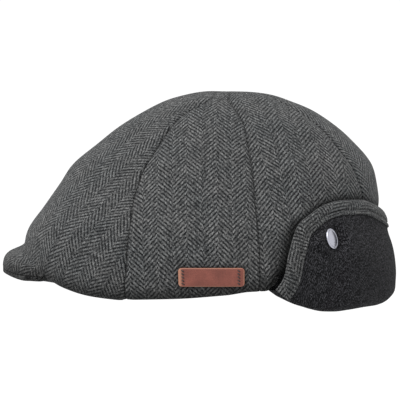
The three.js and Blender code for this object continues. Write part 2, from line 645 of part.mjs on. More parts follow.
const cap = new THREE.Group();
const side = sidePanel();
const rear = rearPanel();
const button = snap();
cap.add(
  piece('panel_front', frontPanel(), WOOL),
  piece('panel_side_left', side, WOOL),
  piece('panel_side_right', mirrored(side), WOOL),
  piece('panel_rear_left', rear, WOOL),
  piece('panel_rear_right', mirrored(rear), WOOL),
  piece('panel_back', backPanel(), WOOL),
  piece('peak', peak(), WOOL),
  piece('earflap', earflap(), KNIT),
  piece('earflap_binding', earflapBinding(), WOOL),
  piece('snap_left', button, NICKEL),
  piece('snap_right', mirrored(button), NICKEL),
  piece('label_patch', label(), LEATHER),
);

export default cap;
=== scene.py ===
# Earflap cap: its looks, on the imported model's frame, in metres. -Y is the front, +X the wearer's left and
# +Z up. Shapes are worked out in millimetres, and angles go round the cap in degrees from centre front.
import math

import bpy
import numpy as np
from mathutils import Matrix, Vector


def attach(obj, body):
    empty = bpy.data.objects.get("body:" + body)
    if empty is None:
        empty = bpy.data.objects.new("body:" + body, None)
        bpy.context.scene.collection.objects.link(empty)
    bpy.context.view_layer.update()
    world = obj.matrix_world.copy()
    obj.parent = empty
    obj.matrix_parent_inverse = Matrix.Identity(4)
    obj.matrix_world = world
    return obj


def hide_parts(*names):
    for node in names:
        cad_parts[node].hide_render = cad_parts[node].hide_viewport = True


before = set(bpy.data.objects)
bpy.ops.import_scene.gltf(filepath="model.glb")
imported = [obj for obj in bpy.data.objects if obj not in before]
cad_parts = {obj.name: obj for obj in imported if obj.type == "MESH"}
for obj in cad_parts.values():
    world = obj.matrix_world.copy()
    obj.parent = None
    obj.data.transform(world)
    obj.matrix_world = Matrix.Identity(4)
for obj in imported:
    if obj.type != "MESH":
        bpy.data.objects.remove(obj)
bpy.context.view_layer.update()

# Crown: six panels of wool herringbone, cut with the grain up each panel and sewn together with the seams
# turned inside, so that each one swells a little between sunken seams. The front panel's cloth runs on
# down over the lip of the peak.
MM = 0.001
WOOL_THICKNESS = 2.2
SEAM_OVERLAP, OVERLAP_LEAST_RADIUS = 0.3, 8.0
APEX_ROW, ROW_SPACING = 0.04, 0.9
PUFF_DEPTH, PUFF_POWER, PUFF_AT_HEM, PUFF_FULL_ABOVE = 1.2, 0.7, 0.35, 25
PUFF_ROWS = (0.5, 3)
FOOT_HEIGHT = 10
ANGLE_STEP, ROW_STEP, LEVEL_TOP_ROW = 0.4, 0.02, 0.05
HALVINGS = 34


def table(names, *rows):
    """Rows of numbers as a dict of named columns."""
    return {name: np.array(column, float) for name, column in zip(names.split(), zip(*rows))}


# Level outlines from the apex down: reach to the front, the back and the side, and the superellipse power
# of the front half and the back half
LEVELS = table(
    "height front back side front_square back_square",
    (143.0, 0, 0, 0, 2.0, 2.0),
    (142.5, 15, 16, 8, 2.0, 2.0),
    (140.1, 27, 31, 16, 2.0, 2.0),
    (135.2, 42.8, 43.5, 27, 2.0, 2.0),
    (127.2, 58.6, 61.2, 39, 2.0, 2.0),
    (117.2, 75.3, 76.6, 49.5, 2.0, 2.0),
    (105.4, 90.3, 88.5, 58.7, 2.05, 2.0),
    (91.6, 106.7, 100.1, 67, 2.1, 2.05),
    (77.8, 115.8, 104.1, 74, 2.2, 2.1),
    (62, 126.8, 105.1, 81, 2.35, 2.1),
    (46, 137.8, 103.2, 87.6, 2.5, 2.15),
    (30, 140.6, 103.6, 90.2, 2.6, 2.15),
    (14, 139.8, 103.6, 89.8, 2.65, 2.15),
    (0, 138, 103.4, 87, 2.65, 2.15),
    (-14, 135, 103, 84, 2.65, 2.15),
)

# Angles of the seams at a height: front to side panel, side to rear panel, rear to back panel
SEAMS = table(
    "height front side back",
    (-14, 61.5, 101.8, 153),
    (5, 61.8, 101.8, 153),
    (29, 62.8, 101.7, 153),
    (42, 62.7, 101.4, 153),
    (55, 61.8, 100.6, 153),
    (67, 60, 99.9, 152.2),
    (83, 59, 99.4, 148.5),
    (97, 59.5, 99, 147),
    (110, 59, 98.7, 147.2),
    (120, 58.8, 98.2, 146.5),
    (128, 61.5, 96, 146.5),
    (132, 67.5, 93.8, 148),
    (136.3, 73, 91, 149),
    (140.5, 70, 94, 149),
    (143, 64, 98, 149),
)

# Height of the crown's lower edge: low over the temples, cut up in an arch under the flap
HEM = table(
    "angle height",
    (0, 16),
    (33, 14.8),
    (42, 7.4),
    (51, 1.6),
    (61, -0.7),
    (76, 0),
    (88, 1.8),
    (99.5, 5),
    (105, 5.8),
    (107.2, 15),
    (111.4, 18.4),
    (114.6, 29),
    (117.2, 38),
    (120.4, 46),
    (124.8, 53),
    (131, 58),
    (138, 60),
    (148, 60),
    (160, 56.5),
    (170, 53.9),
    (180, 52.7),
)
HEM_STRIP = 6

# The lip, by share of the way from centre front to its corner: height of the crease above it, reach out of
# the crown and height of its edge seam. Its profile is a cubic with two handles.
LIP = table(
    "share crease reach edge",
    (0, 36.5, 15.2, 21),
    (0.45, 32.4, 13.8, 18.6),
    (0.75, 26, 9, 15.4),
    (0.92, 22.2, 3.6, 14.6),
    (1, 20.8, 0, 14.8),
)
LIP_CORNER = 33
LIP_OUT, LIP_DROP, LIP_RISE, LIP_FULL_REACH = 0.43, 5, 12.5, 9


def smooth(x, low, high):
    """0 below low, 1 above high, smoothly between."""
    u = np.clip((np.asarray(x, float) - low) / (high - low), 0, 1)
    return u * u * (3 - 2 * u)


def mix(a, b, share):
    return a + (b - a) * share


def read(rows, key, name, x):
    """A column of a table between its rows, by monotone cubics that never overshoot."""
    xs, ys = rows[key], rows[name]
    chord = np.diff(ys) / np.diff(xs)
    product = chord[:-1] * chord[1:]
    total = np.where(product > 0, chord[:-1] + chord[1:], 1)
    slope = np.concatenate([chord[:1], np.where(product > 0, 2 * product / total, 0), chord[-1:]])
    x = np.clip(x, xs[0], xs[-1])
    i = np.clip(np.searchsorted(xs, x) - 1, 0, len(xs) - 2)
    span = xs[i + 1] - xs[i]
    u = (x - xs[i]) / span
    start = (1 + 2 * u) * (1 - u) ** 2 * ys[i] + u * (1 - u) ** 2 * span * slope[i]
    return start + u * u * (3 - 2 * u) * ys[i + 1] + u * u * (u - 1) * span * slope[i + 1]


def level(name, row):
    """A column of the crown's levels at a row number with a fraction, mirrored through the apex."""
    values = LEVELS[name]
    last = len(values) - 1
    sign = -1 if name in ("front", "back", "side") else 1
    row = np.asarray(row, float)
    i = np.clip(np.floor(row).astype(int), 0, last - 1)
    u = row - i

    def at(k):
        return np.where(k < 0, sign * values[np.abs(k) % len(values)], values[np.clip(k, 0, last)])

    a, b, c, d = at(i - 1), at(i), at(i + 1), at(i + 2)
    return 0.5 * (2 * b + (c - a) * u + (2 * a - 5 * b + 4 * c - d) * u * u + (3 * b - a - 3 * c + d) * u**3)


def row_at(height):
    """The row number at which the crown has a height."""
    height = np.asarray(height, float)
    low, high = np.zeros_like(height), np.full_like(height, len(LEVELS["height"]) - 1.0)
    for _ in range(HALVINGS):
        middle = (low + high) / 2
        above = level("height", middle) > height
        low, high = np.where(above, middle, low), np.where(above, high, middle)
    return (low + high) / 2


def unit(v):
    return v / np.maximum(np.linalg.norm(v, axis=-1, keepdims=True), 1e-12)


def bare_crown(angle, row):
    """The crown without its panels' swelling."""
    sine, cosine = np.sin(np.radians(angle)), np.cos(np.radians(angle))
    ahead = cosine > 0
    power = np.where(ahead, level("front_square", row), level("back_square", row))
    reach = np.where(ahead, level("front", row), level("back", row))
    stretch = (np.abs(sine) ** power + np.abs(cosine) ** power) ** (-1 / power)
    x = stretch * level("side", row) * sine
    return np.stack(np.broadcast_arrays(x, -stretch * reach * cosine, level("height", row)), -1)


def normal_of(surface, angle, row):
    """The outward normal of a surface, straight up at the apex."""
    around = surface(angle + ANGLE_STEP, row) - surface(angle - ANGLE_STEP, row)
    down = surface(angle, row + ROW_STEP) - surface(angle, row - ROW_STEP)
    up = np.array([0.0, 0.0, 1.0])
    return np.where((np.asarray(row) < LEVEL_TOP_ROW)[..., None], up, unit(np.cross(down, around)))


def from_front(angle):
    """How far round from centre front an angle is, whichever way it was counted."""
    angle = np.abs(angle)
    return np.where(angle > 180, 360 - angle, angle)


def panel_edges(height):
    """Angles of the seams at a height, round from the front panel's first side to the back panel's last."""
    front, side, back = (read(SEAMS, "height", name, height) for name in ("front", "side", "back"))
    return [-front, front, side, back, 360 - back]


def puff(angle, row):
    """How far a panel swells between its seams."""
    height = level("height", row)
    edges = panel_edges(height)
    turned = from_front(angle)
    places = [turned < edge for edge in edges[1:4]]
    low = np.select(places, edges[:3], edges[3])
    high = np.select(places, edges[1:4], edges[4])
    share = np.clip((turned - low) / (high - low), 0, 1)
    fade = smooth(row, *PUFF_ROWS) * mix(PUFF_AT_HEM, 1, smooth(height, 0, PUFF_FULL_ABOVE))
    return PUFF_DEPTH * fade * np.sin(np.pi * share) ** PUFF_POWER


def crown(angle, row):
    return bare_crown(angle, row) + normal_of(bare_crown, angle, row) * puff(angle, row)[..., None]


def on_crown(angle, height, offset=0.0):
    """Points at heights on the crown, or that far off its outer face."""
    angle, height, offset = np.broadcast_arrays(*(np.asarray(v, float) for v in (angle, height, offset)))
    row = row_at(height)
    return crown(angle, row) + normal_of(crown, angle, row) * offset[..., None]


def lip_edge(angle, reach, height):
    """The lip's edge seam, pushed straight out of the crown."""
    out = normal_of(crown, angle, row_at(height))
    out = unit(out * np.array([1.0, 1.0, 0.0]))
    return on_crown(angle, height) + out * np.asarray(reach)[..., None]


def plain_foot(angle):
    """Height of a panel's last plain row: the crease over the lip, or the top of the hem strip."""
    side = from_front(angle)
    crease = read(LIP, "share", "crease", side / LIP_CORNER)
    return np.where(side < LIP_CORNER, crease, read(HEM, "angle", "height", side) + HEM_STRIP)


def foot(angle, share):
    """Below the last plain row: over the lip to its edge seam, or plain cloth down to the hem."""
    angle, share = np.broadcast_arrays(angle, share)
    side = from_front(angle)
    hem = read(HEM, "angle", "height", side)
    plain = on_crown(angle, mix(hem + HEM_STRIP, hem, share))
    at = np.minimum(side / LIP_CORNER, 1)
    crease, reach, edge = (read(LIP, "share", name, at) for name in ("crease", "reach", "edge"))
    start = on_crown(angle, crease)
    end = lip_edge(angle, reach, edge)
    fullness = smooth(reach, 0, LIP_FULL_REACH)[..., None]
    neck = mix(start, end, LIP_OUT)
    neck[..., 2] = start[..., 2] - LIP_DROP
    over = end.copy()
    over[..., 2] = edge + LIP_RISE
    first = mix(mix(start, end, 1 / 3), neck, fullness)
    second = mix(mix(start, end, 2 / 3), over, fullness)
    t = share[..., None]
    rest = 1 - t
    curve = start * rest**3 + first * 3 * rest**2 * t + second * 3 * rest * t**2 + end * t**3
    return np.where((side < LIP_CORNER)[..., None], curve, plain)


def quads(rows, columns, offset=0):
    i, j = np.meshgrid(np.arange(rows - 1), np.arange(columns - 1), indexing="ij")
    corner = (i * columns + j + offset).ravel()
    return np.stack([corner, corner + 1, corner + columns + 1, corner + columns], -1)


def wall_faces(rows, columns):
    """Faces of a closed wall: an outer grid, an inner grid after it, and a strip round their edges."""
    inner = rows * columns
    ring = np.concatenate([
        np.arange(columns),
        np.arange(1, rows) * columns + columns - 1,
        (rows - 1) * columns + np.arange(columns - 2, -1, -1),
        np.arange(rows - 2, 0, -1) * columns,
    ])
    following = np.roll(ring, -1)
    edge = np.stack([following, ring, ring + inner, following + inner], -1)
    return np.concatenate([quads(rows, columns), quads(rows, columns, inner)[:, ::-1], edge])


def add_object(name, data):
    obj = bpy.data.objects.new(name, data)
    bpy.context.collection.objects.link(obj)
    return obj


def make_mesh(name, points, faces, uv=None, material=None, shade=None):
    """A smooth mesh of quads on points in millimetres, with a UV in metres and a painted shade at each point.
    """
    mesh = bpy.data.meshes.new(name)
    mesh.vertices.add(len(points))
    mesh.vertices.foreach_set("co", (np.asarray(points) * MM).ravel())
    mesh.loops.add(faces.size)
    mesh.loops.foreach_set("vertex_index", faces.ravel().astype(np.int32))
    mesh.polygons.add(len(faces))
    mesh.polygons.foreach_set("loop_start", np.arange(0, faces.size, faces.shape[1], dtype=np.int32))
    mesh.update(calc_edges=True)
    mesh.polygons.foreach_set("use_smooth", np.ones(len(faces), bool))
    if uv is not None:
        layer = mesh.uv_layers.new(name="cloth")
        layer.data.foreach_set("uv", np.asarray(uv)[faces.ravel()].ravel())
    if shade is not None:
        mesh.attributes.new("shade", "FLOAT", "POINT").data.foreach_set("value", shade)
    if material:
        mesh.materials.append(material)
    return add_object(name, mesh)


def make_wall(name, outer, inner, uv, material, shade=1.0):
    """A closed wall between two grids of points, its faces turned outwards. Its colour is times its painted
    shade.
    """
    points = np.concatenate([outer.reshape(-1, 3), inner.reshape(-1, 3)])
    faces = wall_faces(*outer.shape[:2])
    a, b, c, d = (points[faces[:, k]] for k in range(4))
    if np.einsum("ij,ij->i", a, np.cross(b, c) + np.cross(c, d)).sum() < 0:
        faces = faces[:, ::-1]
    flat = np.tile(uv.reshape(-1, 2), (2, 1))
    tone = np.tile(np.broadcast_to(shade, outer.shape[:2]).ravel(), 2)
    return make_mesh(name, points, faces, flat, material, tone)


def dress(obj, node):
    """Put a piece in place of a solid."""
    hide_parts(node)
    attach(obj, "root")


APEX_LEVEL_RADIUS, LEAST_UPWARD = 4.0, 0.6


def grid_normals(grid):
    """Outward normals of a grid, turned straight up where the panels come together at the apex."""
    normals = unit(np.cross(np.gradient(grid, axis=1), np.gradient(grid, axis=0)))
    height = grid[..., 2:3]
    from_apex = np.linalg.norm(grid[..., :2], axis=-1, keepdims=True)
    on_top = height > LEVELS["height"][3]
    level_share = np.exp(-((from_apex / APEX_LEVEL_RADIUS) ** 2)) * on_top
    level_share = np.where(on_top & (normals[..., 2:] < LEAST_UPWARD), 1, level_share)
    return unit(mix(normals, np.array([0.0, 0.0, 1.0]), level_share))


def soften(grid, passes):
    """Average each point with its neighbours, and those of the first and last rows along the row."""
    grid = grid.copy()
    for _ in range(passes):
        around = grid[:-2, 1:-1] + grid[2:, 1:-1] + grid[1:-1, :-2] + grid[1:-1, 2:]
        ends = grid[[0, -1], :-2] + grid[[0, -1], 2:]
        grid[1:-1, 1:-1] = grid[1:-1, 1:-1] * 0.5 + around * 0.125
        grid[[0, -1], 1:-1] = grid[[0, -1], 1:-1] * 0.75 + ends * 0.125
    return grid


WAVES_ADDED, WAVE_SPREAD, WAVE_SHRINK = 7, (0.7, 1.5), 2.6


def unevenness(points, length, seed):
    """A smooth random height over space, about -1 to 1, with waves of about a length in millimetres."""
    rng = np.random.default_rng(seed)
    total = np.zeros(points.shape[:-1])
    for _ in range(WAVES_ADDED):
        way = unit(rng.normal(size=3)) * 2 * math.pi / (length * rng.uniform(*WAVE_SPREAD))
        total += np.sin(points @ way + rng.uniform(0, 6.28)) / WAVE_SHRINK
    return total


def flatten(grid):
    """The grid laid flat as cloth, in millimetres."""
    rows, columns = grid.shape[:2]
    obj = make_mesh("flattening", grid.reshape(-1, 3), quads(rows, columns), np.zeros((rows * columns, 2)))
    bpy.context.view_layer.objects.active = obj
    obj.select_set(True)
    bpy.ops.object.mode_set(mode="EDIT")
    bpy.ops.mesh.select_all(action="SELECT")
    bpy.ops.uv.unwrap(method="CONFORMAL", margin=0)
    bpy.ops.object.mode_set(mode="OBJECT")
    loops = np.empty(len(obj.data.loops), np.int32)
    obj.data.loops.foreach_get("vertex_index", loops)
    found = np.empty(len(loops) * 2)
    obj.data.uv_layers["cloth"].data.foreach_get("uv", found)
    uv = np.zeros((rows * columns, 2))
    uv[loops] = found.reshape(-1, 2)
    uv = uv.reshape(rows, columns, 2)
    bpy.data.objects.remove(obj)

    def area(a, b):
        return np.abs(a[..., 0] * b[..., 1] - a[..., 1] * b[..., 0]).sum()

    flat_area = area(uv[1:, :-1] - uv[:-1, :-1], uv[:-1, 1:] - uv[:-1, :-1])
    right, below = grid[1:, :-1] - grid[:-1, :-1], grid[:-1, 1:] - grid[:-1, :-1]
    return uv * math.sqrt(np.linalg.norm(np.cross(right, below), axis=-1).sum() / flat_area)


FAR = 1000


def settle(grid, uv, low, high, valley):
    """Flat cloth in metres, turned so that the way from low to high, both (y, z) on the near side, runs up
    it, and moved so that a valley of the herringbone passes through the point valley."""

    def nearest(flat, place):
        away = np.abs(grid[..., 1] - place[0]) + np.abs(grid[..., 2] - place[1])
        return flat.reshape(-1, 2)[np.argmin(away + (grid[..., 0] < -1) * FAR)]

    up = unit(nearest(uv, high) - nearest(uv, low))
    turned = np.stack([uv[..., 0] * up[1] - uv[..., 1] * up[0], uv @ up], -1)
    middle = turned.shape[1] // 2
    if turned[-1, middle, 0] < turned[0, middle, 0]:
        turned = turned * np.array([-1.0, 1.0])
    return (turned - nearest(turned, valley)) * MM


def add_node(tree, kind, settings=None, *values, **named):
    """A node of a kind: first its settings, then its sockets' values or links, in order or by name."""
    node = tree.nodes.new(kind)
    for key, value in (settings or {}).items():
        if key == "stops":
            elements = node.color_ramp.elements
            while len(elements) < len(value):
                elements.new(0.5)
            for element, (at, colour) in zip(elements, value):
                element.position = at
                element.color = (*colour, 1)
        else:
            setattr(node, key, value)
    in_order = zip([slot for slot in node.inputs if slot.enabled], values)
    by_name = [(node.inputs[key.replace("_", " ")], value) for key, value in named.items()]
    for slot, value in [*in_order, *by_name]:
        value = value.socket if isinstance(value, Number) else value
        if isinstance(value, bpy.types.NodeSocket):
            tree.links.new(value, slot)
        else:
            slot.default_value = value
    return node


class Number:
    """A number from a node's socket, for use in expressions."""

    def __init__(self, tree, socket):
        self.tree, self.socket = tree, socket

    def op(self, operation, *values):
        node = add_node(self.tree, "ShaderNodeMath", {"operation": operation}, *values)
        return Number(self.tree, node.outputs[0])

    def __add__(self, other):
        return self.op("ADD", self, other)

    def __sub__(self, other):
        return self.op("SUBTRACT", self, other)

    def __rsub__(self, other):
        return self.op("SUBTRACT", other, self)

    def __mul__(self, other):
        return self.op("MULTIPLY", self, other)

    def __truediv__(self, other):
        return self.op("DIVIDE", self, other)

    def __lt__(self, other):
        return self.op("LESS_THAN", self, other)

    def __mod__(self, other):
        return self.op("FLOORED_MODULO", self, other)

    def __abs__(self):
        return self.op("ABSOLUTE", self)

    __radd__, __rmul__ = __add__, __mul__

    def floor(self):
        return self.op("FLOOR", self)

    def sine(self):
        return self.op("SINE", self)

    def least(self, other):
        return self.op("MINIMUM", self, other)

    def most(self, other):
        return self.op("MAXIMUM", self, other)

    def between(self, low, high):
        """0 below low and 1 above high, evenly between."""
        return ((self - low) / (high - low)).most(0.0).least(1.0)


class Finish:
    """A material whose shader gets its constants by name and the rest from nodes."""

    def __init__(self, name, **constants):
        self.material = bpy.data.materials.new(name)
        self.material.use_nodes = True
        self.tree = self.material.node_tree
        self.shader = self.tree.nodes["Principled BSDF"]
        for key, value in constants.items():
            self.shader.inputs[key.replace("_", " ")].default_value = value

    def node(self, kind, settings=None, *values, **named):
        return add_node(self.tree, kind, settings, *values, **named)

    def number(self, node, output=0):
        return Number(self.tree, node.outputs[output])

    def uv(self):
        """The piece's own two coordinates, in metres."""
        place = self.node("ShaderNodeUVMap", {"uv_map": "cloth"}).outputs[0]
        apart = self.node("ShaderNodeSeparateXYZ", None, place)
        return self.number(apart, 0), self.number(apart, 1)

    def noise(self, scale, detail):
        place = self.node("ShaderNodeTexCoord").outputs["Object"]
        return self.number(self.node("ShaderNodeTexNoise", None, Vector=place, Scale=scale, Detail=detail))

    def chance(self, x, y, seed):
        """A random number for each pair of whole numbers."""
        key = self.node("ShaderNodeCombineXYZ", None, x, y, seed).outputs[0]
        return self.number(self.node("ShaderNodeTexWhiteNoise", {"noise_dimensions": "3D"}, Vector=key))

    def ramp(self, share, *stops):
        return self.node("ShaderNodeValToRGB", {"stops": stops}, share).outputs["Color"]

    def blend(self, share, first, second, way="MIX"):
        settings = {"data_type": "RGBA", "blend_type": way}
        return self.node("ShaderNodeMix", settings, share, first, second).outputs[2]

    def feed(self, name, value):
        self.tree.links.new(value.socket if isinstance(value, Number) else value, self.shader.inputs[name])

    def bump(self, *layers):
        """Relief in layers of (height in metres, strength)."""
        before = {}
        for height, strength in layers:
            node = self.node("ShaderNodeBump", None, Height=height, Strength=strength, Distance=1.0, **before)
            before = {"Normal": node.outputs[0]}
        self.feed("Normal", before["Normal"])


# Metres from yarn to yarn, yarns in a column of the weave, and how often light yarn comes over dark
YARN = 0.835e-3
YARNS_A_COLUMN = 12
TWILL_REPEAT, TWILL_OVER, TWILL_SHIFT = 4.0, 1.5, 3.0
FIRST_YARN = 2400.0
WANDER_ACROSS, WANDER_ALONG = 0.0012, 0.001
YARN_RELIEF, FIBRE_RELIEF = 0.0009, 0.0007
LIGHT_YARN = ((0.03, 0.031, 0.0315), (0.076, 0.078, 0.0785), (0.2, 0.202, 0.201))
DARK_YARN = ((0.004, 0.0043, 0.005), (0.022, 0.0225, 0.024))
FUZZ = (0.15, 0.148, 0.145)


def herringbone(name, turn=0.0, tone=1.0):
    """Wool twill in light yarn over dark yarn, whose diagonal breaks and turns back every twelve yarns."""
    finish = Finish(name, Roughness=0.95, Specular_IOR_Level=0.08, Sheen_Weight=0.07, Sheen_Roughness=0.4)
    across, along = finish.uv()
    if turn:
        c, s = math.cos(turn), math.sin(turn)
        across, along = across * c - along * s, across * s + along * c
    wander = finish.noise(55.0, 1.0) - 0.5
    x = (across + wander * WANDER_ACROSS) / YARN + FIRST_YARN
    y = (along + wander * WANDER_ALONG) / YARN + FIRST_YARN
    warp, weft = x.floor(), y.floor()
    turned_back = (warp / YARNS_A_COLUMN).floor() % 2.0
    step = (weft + warp * (turned_back * 2.0 - 1.0) + turned_back * TWILL_SHIFT) % TWILL_REPEAT
    over = step < TWILL_OVER
    fibre = finish.noise(1900.0, 3.0)
    fuzz = finish.noise(850.0, 2.0)
    patch = finish.noise(38.0, 3.0)
    fleck = finish.chance(warp, (weft / 3.0).floor(), 3.0)
    strand = finish.chance(warp, 5.0, 8.0)
    light_low, light_middle, light_high = (tuple(v * tone for v in colour) for colour in LIGHT_YARN)
    dark_low, dark_high = (tuple(v * tone for v in colour) for colour in DARK_YARN)
    light_share = fleck * 0.3 + strand * 0.15 + fibre * 0.6
    light = finish.ramp(light_share, (0.25, light_low), (0.52, light_middle), (0.8, light_high))
    dark_fleck = finish.chance(weft, (warp / 3.0).floor(), 6.0)
    dark = finish.ramp(dark_fleck * 0.55 + fibre * 0.45, (0.2, dark_low), (0.85, dark_high))
    cloud = finish.ramp(patch, (0.3, (0.8, 0.83, 0.84)), (0.7, (1.0, 0.99, 0.98)))
    cloth = finish.blend(1.0, finish.blend(over, dark, light), cloud, "MULTIPLY")
    cloth = finish.blend(fuzz.between(0.52, 0.76) * 0.75, cloth, (*(v * tone for v in FUZZ), 1))
    cloth = finish.blend((0.46 - fuzz).between(0.0, 0.22) * 0.8, cloth, (*dark_low, 1))
    # Painted shade: the cloth's colour is darkened by each point's shade
    shade = finish.node("ShaderNodeAttribute", {"attribute_name": "shade"}).outputs["Fac"]
    finish.feed("Base Color", finish.blend(shade, (0, 0, 0, 1), cloth))
    off_warp, off_weft = abs(x % 1.0 - 0.5), abs(y % 1.0 - 0.5)
    warp_top = 0.26 - off_warp * off_warp
    weft_top = 0.1 - off_weft * off_weft
    height = (over * (warp_top - weft_top) + weft_top) * YARN_RELIEF
    finish.bump((height, 0.8), (fibre * FIBRE_RELIEF, 0.4))
    return finish.material


wool = herringbone("herringbone_wool")

# Shares of a panel at which its cloth has columns beside a seam, and rows below its last plain one
SEAM_SIDE = 0.035
SEAM_COLUMNS = np.array([0, 0.12, 0.3, 0.55, 0.8]) * SEAM_SIDE
CREASE_ROWS = np.concatenate([np.arange(1, 18) / 18, [0.965, 0.982, 0.993, 1.0]])
SOFTENINGS = 2
# How deep and wide a seam sinks and pulls the cloth in, and how it fades out towards the apex
SEAM_DEPTH, SEAM_WIDTH, SEAM_PULL, SEAM_PULL_WIDTH = 2.2, 0.55, 0.35, 3.2
APEX_ABOVE, APEX_SEAM_SHARE, APEX_SEAM_FADE, APEX_SHADE_FADE = 100, 0.12, (6, 30), (0, 10)
UNEVEN_DEPTH, UNEVEN_LENGTH, UNEVEN_FROM_SEAM = 0.35, 42, 12
# Painted shade: shares of its colour that the cloth loses in its creases, and how far out of them
SEAM_SHADE, SEAM_SHADE_WIDTH = 0.6, 0.9
# Painted shade at the hem, where the cloth turns under away from the light
HEM_SHADE, HEM_SHADE_HEIGHT = 0.65, 7.5
# Painted shadow that the flap and its binding cast on the crown beside them, wider low down
FLAP_SHADE, FLAP_SHADE_LOW_WIDTH, FLAP_SHADE_WIDTH = 0.88, 8.0, 4.5
FLAP_SHADE_NARROWS = (44, 58)
# Painted shadow round the leather label, on the panel it is sewn to
LABEL_AREA = ((-11.3, 21.5), (15.5, 5.6))
LABEL_SHADE, LABEL_SHADE_WIDTH = 0.6, 2.0
# The hem's small roll, its wider curl between two angles, and the dip where the flap presses the crown
HEM_ROLL = 1.1
CURL_DEPTH, CURL_HEIGHT, CURL_STARTS, CURL_STOPS = 2.4, 9, (24, 40), (97, 104)
TUCK_DEPTH, TUCK_WIDTH = 1.3, 6

# The flap along lines from its front end to centre back: angle and height of its free edge, of its fold and
# of its end inside the crown
FLAP = table(
    "line edge edge_height fold fold_height inside inside_height",
    (0, 108, 5.9, 108.3, 2, 107.5, 24),
    (1, 111.3, 15.6, 112.6, -1.6, 111, 42),
    (2, 112.6, 27.6, 117, -4.9, 115, 54),
    (3, 114.2, 37.9, 121.4, -6.9, 119.5, 62),
    (4, 116.4, 47.7, 126.4, -8, 124.5, 68),
    (5, 120.5, 54.2, 131.4, -8.1, 130, 69),
    (6, 127.4, 61.6, 138.2, -7.2, 137, 71),
    (7, 136, 64.6, 145, -6.3, 144.5, 71.5),
    (8, 147, 65.1, 153, -5.7, 153, 71),
    (9, 160, 61.5, 163, -4.7, 163, 69.5),
    (10, 170, 58.9, 171.5, -3.6, 171.5, 70),
    (11, 180, 57.6, 180, -3.4, 180, 68),
)
FLAP_END = 11
TRAIL_POINTS, POINTS_AT_ONCE = 161, 4000
trail_lines = np.linspace(0, FLAP_END, TRAIL_POINTS)
edge_trail = on_crown(read(FLAP, "line", "edge", trail_lines), read(FLAP, "line", "edge_height", trail_lines))


def edge_depth(points):
    """Distance of points from the flap's free edge, on either side of the cap."""
    flat = points.reshape(-1, 3).copy()
    flat[:, 0] = np.abs(flat[:, 0])
    found = np.empty(len(flat))
    for start in range(0, len(flat), POINTS_AT_ONCE):
        part = slice(start, start + POINTS_AT_ONCE)
        found[part] = np.linalg.norm(flat[part, None] - edge_trail[None], axis=-1).min(axis=1)
    return found.reshape(points.shape[:-1])


def panel_grid(place, columns, crown_rows):
    """Points of a panel's outer face, closer together beside its seams and at its hem."""
    between = np.linspace(SEAM_SIDE, 1 - SEAM_SIDE, columns)
    share = np.concatenate([SEAM_COLUMNS, between, (1 - SEAM_COLUMNS)[::-1]])[:, None]

    def angles(row, share):
        low, high = panel_edges(level("height", row))[place:place + 2]
        over = np.degrees(SEAM_OVERLAP / np.maximum(level("side", row), OVERLAP_LEAST_RADIUS))
        return mix(low - over, high + over, share)

    plain = row_at(plain_foot(angles(row_at(FOOT_HEIGHT), share)))
    rows = mix(APEX_ROW, plain, np.linspace(0, 1, crown_rows)[None, :] ** ROW_SPACING)
    top = crown(angles(rows, share), rows)
    return np.concatenate([top, foot(angles(plain, share), CREASE_ROWS[None, :])], axis=1)


def sewn(grid, seed, labelled):
    """Sink a panel's sides into its seams, curl its hem under and leave the cloth a little uneven. Gives
    the new grid and its painted shade, darker in the seams, at the hem, beside the flap and round the label."""
    normals = grid_normals(grid)
    left = np.linalg.norm(grid - grid[:1], axis=-1)
    right = np.linalg.norm(grid - grid[-1:], axis=-1)
    near = np.minimum(left, right)
    from_apex = np.linalg.norm(grid[..., :2], axis=-1) + FAR * (grid[..., 2] < APEX_ABOVE)
    groove = SEAM_DEPTH * np.exp(-near / SEAM_WIDTH) + SEAM_PULL * np.exp(-((near / SEAM_PULL_WIDTH) ** 2))
    sink = groove * mix(APEX_SEAM_SHARE, 1, smooth(from_apex, *APEX_SEAM_FADE))
    from_hem = np.linalg.norm(grid - grid[:, -1:], axis=-1)
    inside = np.clip(HEM_ROLL - from_hem, 0, HEM_ROLL)
    sink += HEM_ROLL - np.sqrt(HEM_ROLL**2 - inside**2)
    turned = np.abs(np.degrees(np.arctan2(grid[:, -1:, 0], -grid[:, -1:, 1])))
    curled = smooth(turned, *CURL_STARTS) * (1 - smooth(turned, *CURL_STOPS))
    sink += CURL_DEPTH * curled * np.clip(1 - from_hem / CURL_HEIGHT, 0, 1) ** 2
    from_flap = edge_depth(grid)
    sink += TUCK_DEPTH * np.exp(-((from_flap / TUCK_WIDTH) ** 2))
    sink -= UNEVEN_DEPTH * unevenness(grid, UNEVEN_LENGTH, seed) * smooth(near, 0, UNEVEN_FROM_SEAM)
    # Painted shade in the seams' creases, fading out towards the apex
    seam_painted_shade = np.exp(-((near / SEAM_SHADE_WIDTH) ** 2)) * smooth(from_apex, *APEX_SHADE_FADE)
    shade = 1 - SEAM_SHADE * seam_painted_shade
    # Painted shade towards the hem
    shade = shade * (1 - HEM_SHADE * np.exp(-((from_hem / HEM_SHADE_HEIGHT) ** 2)))
    # Painted shadow of the flap and its binding on the crown
    flap_shadow_width = mix(FLAP_SHADE_LOW_WIDTH, FLAP_SHADE_WIDTH, smooth(grid[..., 2], *FLAP_SHADE_NARROWS))
    shade = shade * (1 - FLAP_SHADE * np.exp(-((from_flap / flap_shadow_width) ** 2)))
    # Painted shadow round the label
    (label_y, half_length), (label_z, half_width) = LABEL_AREA
    past_end = np.maximum(np.abs(grid[..., 1] - label_y) - half_length, 0)
    past_side = np.maximum(np.abs(grid[..., 2] - label_z) - half_width, 0)
    from_label = np.hypot(past_end, past_side) + FAR * (grid[..., 0] < 0)
    shade = shade * (1 - LABEL_SHADE * labelled * np.exp(-((from_label / LABEL_SHADE_WIDTH) ** 2)))
    return grid - normals * sink[..., None], shade


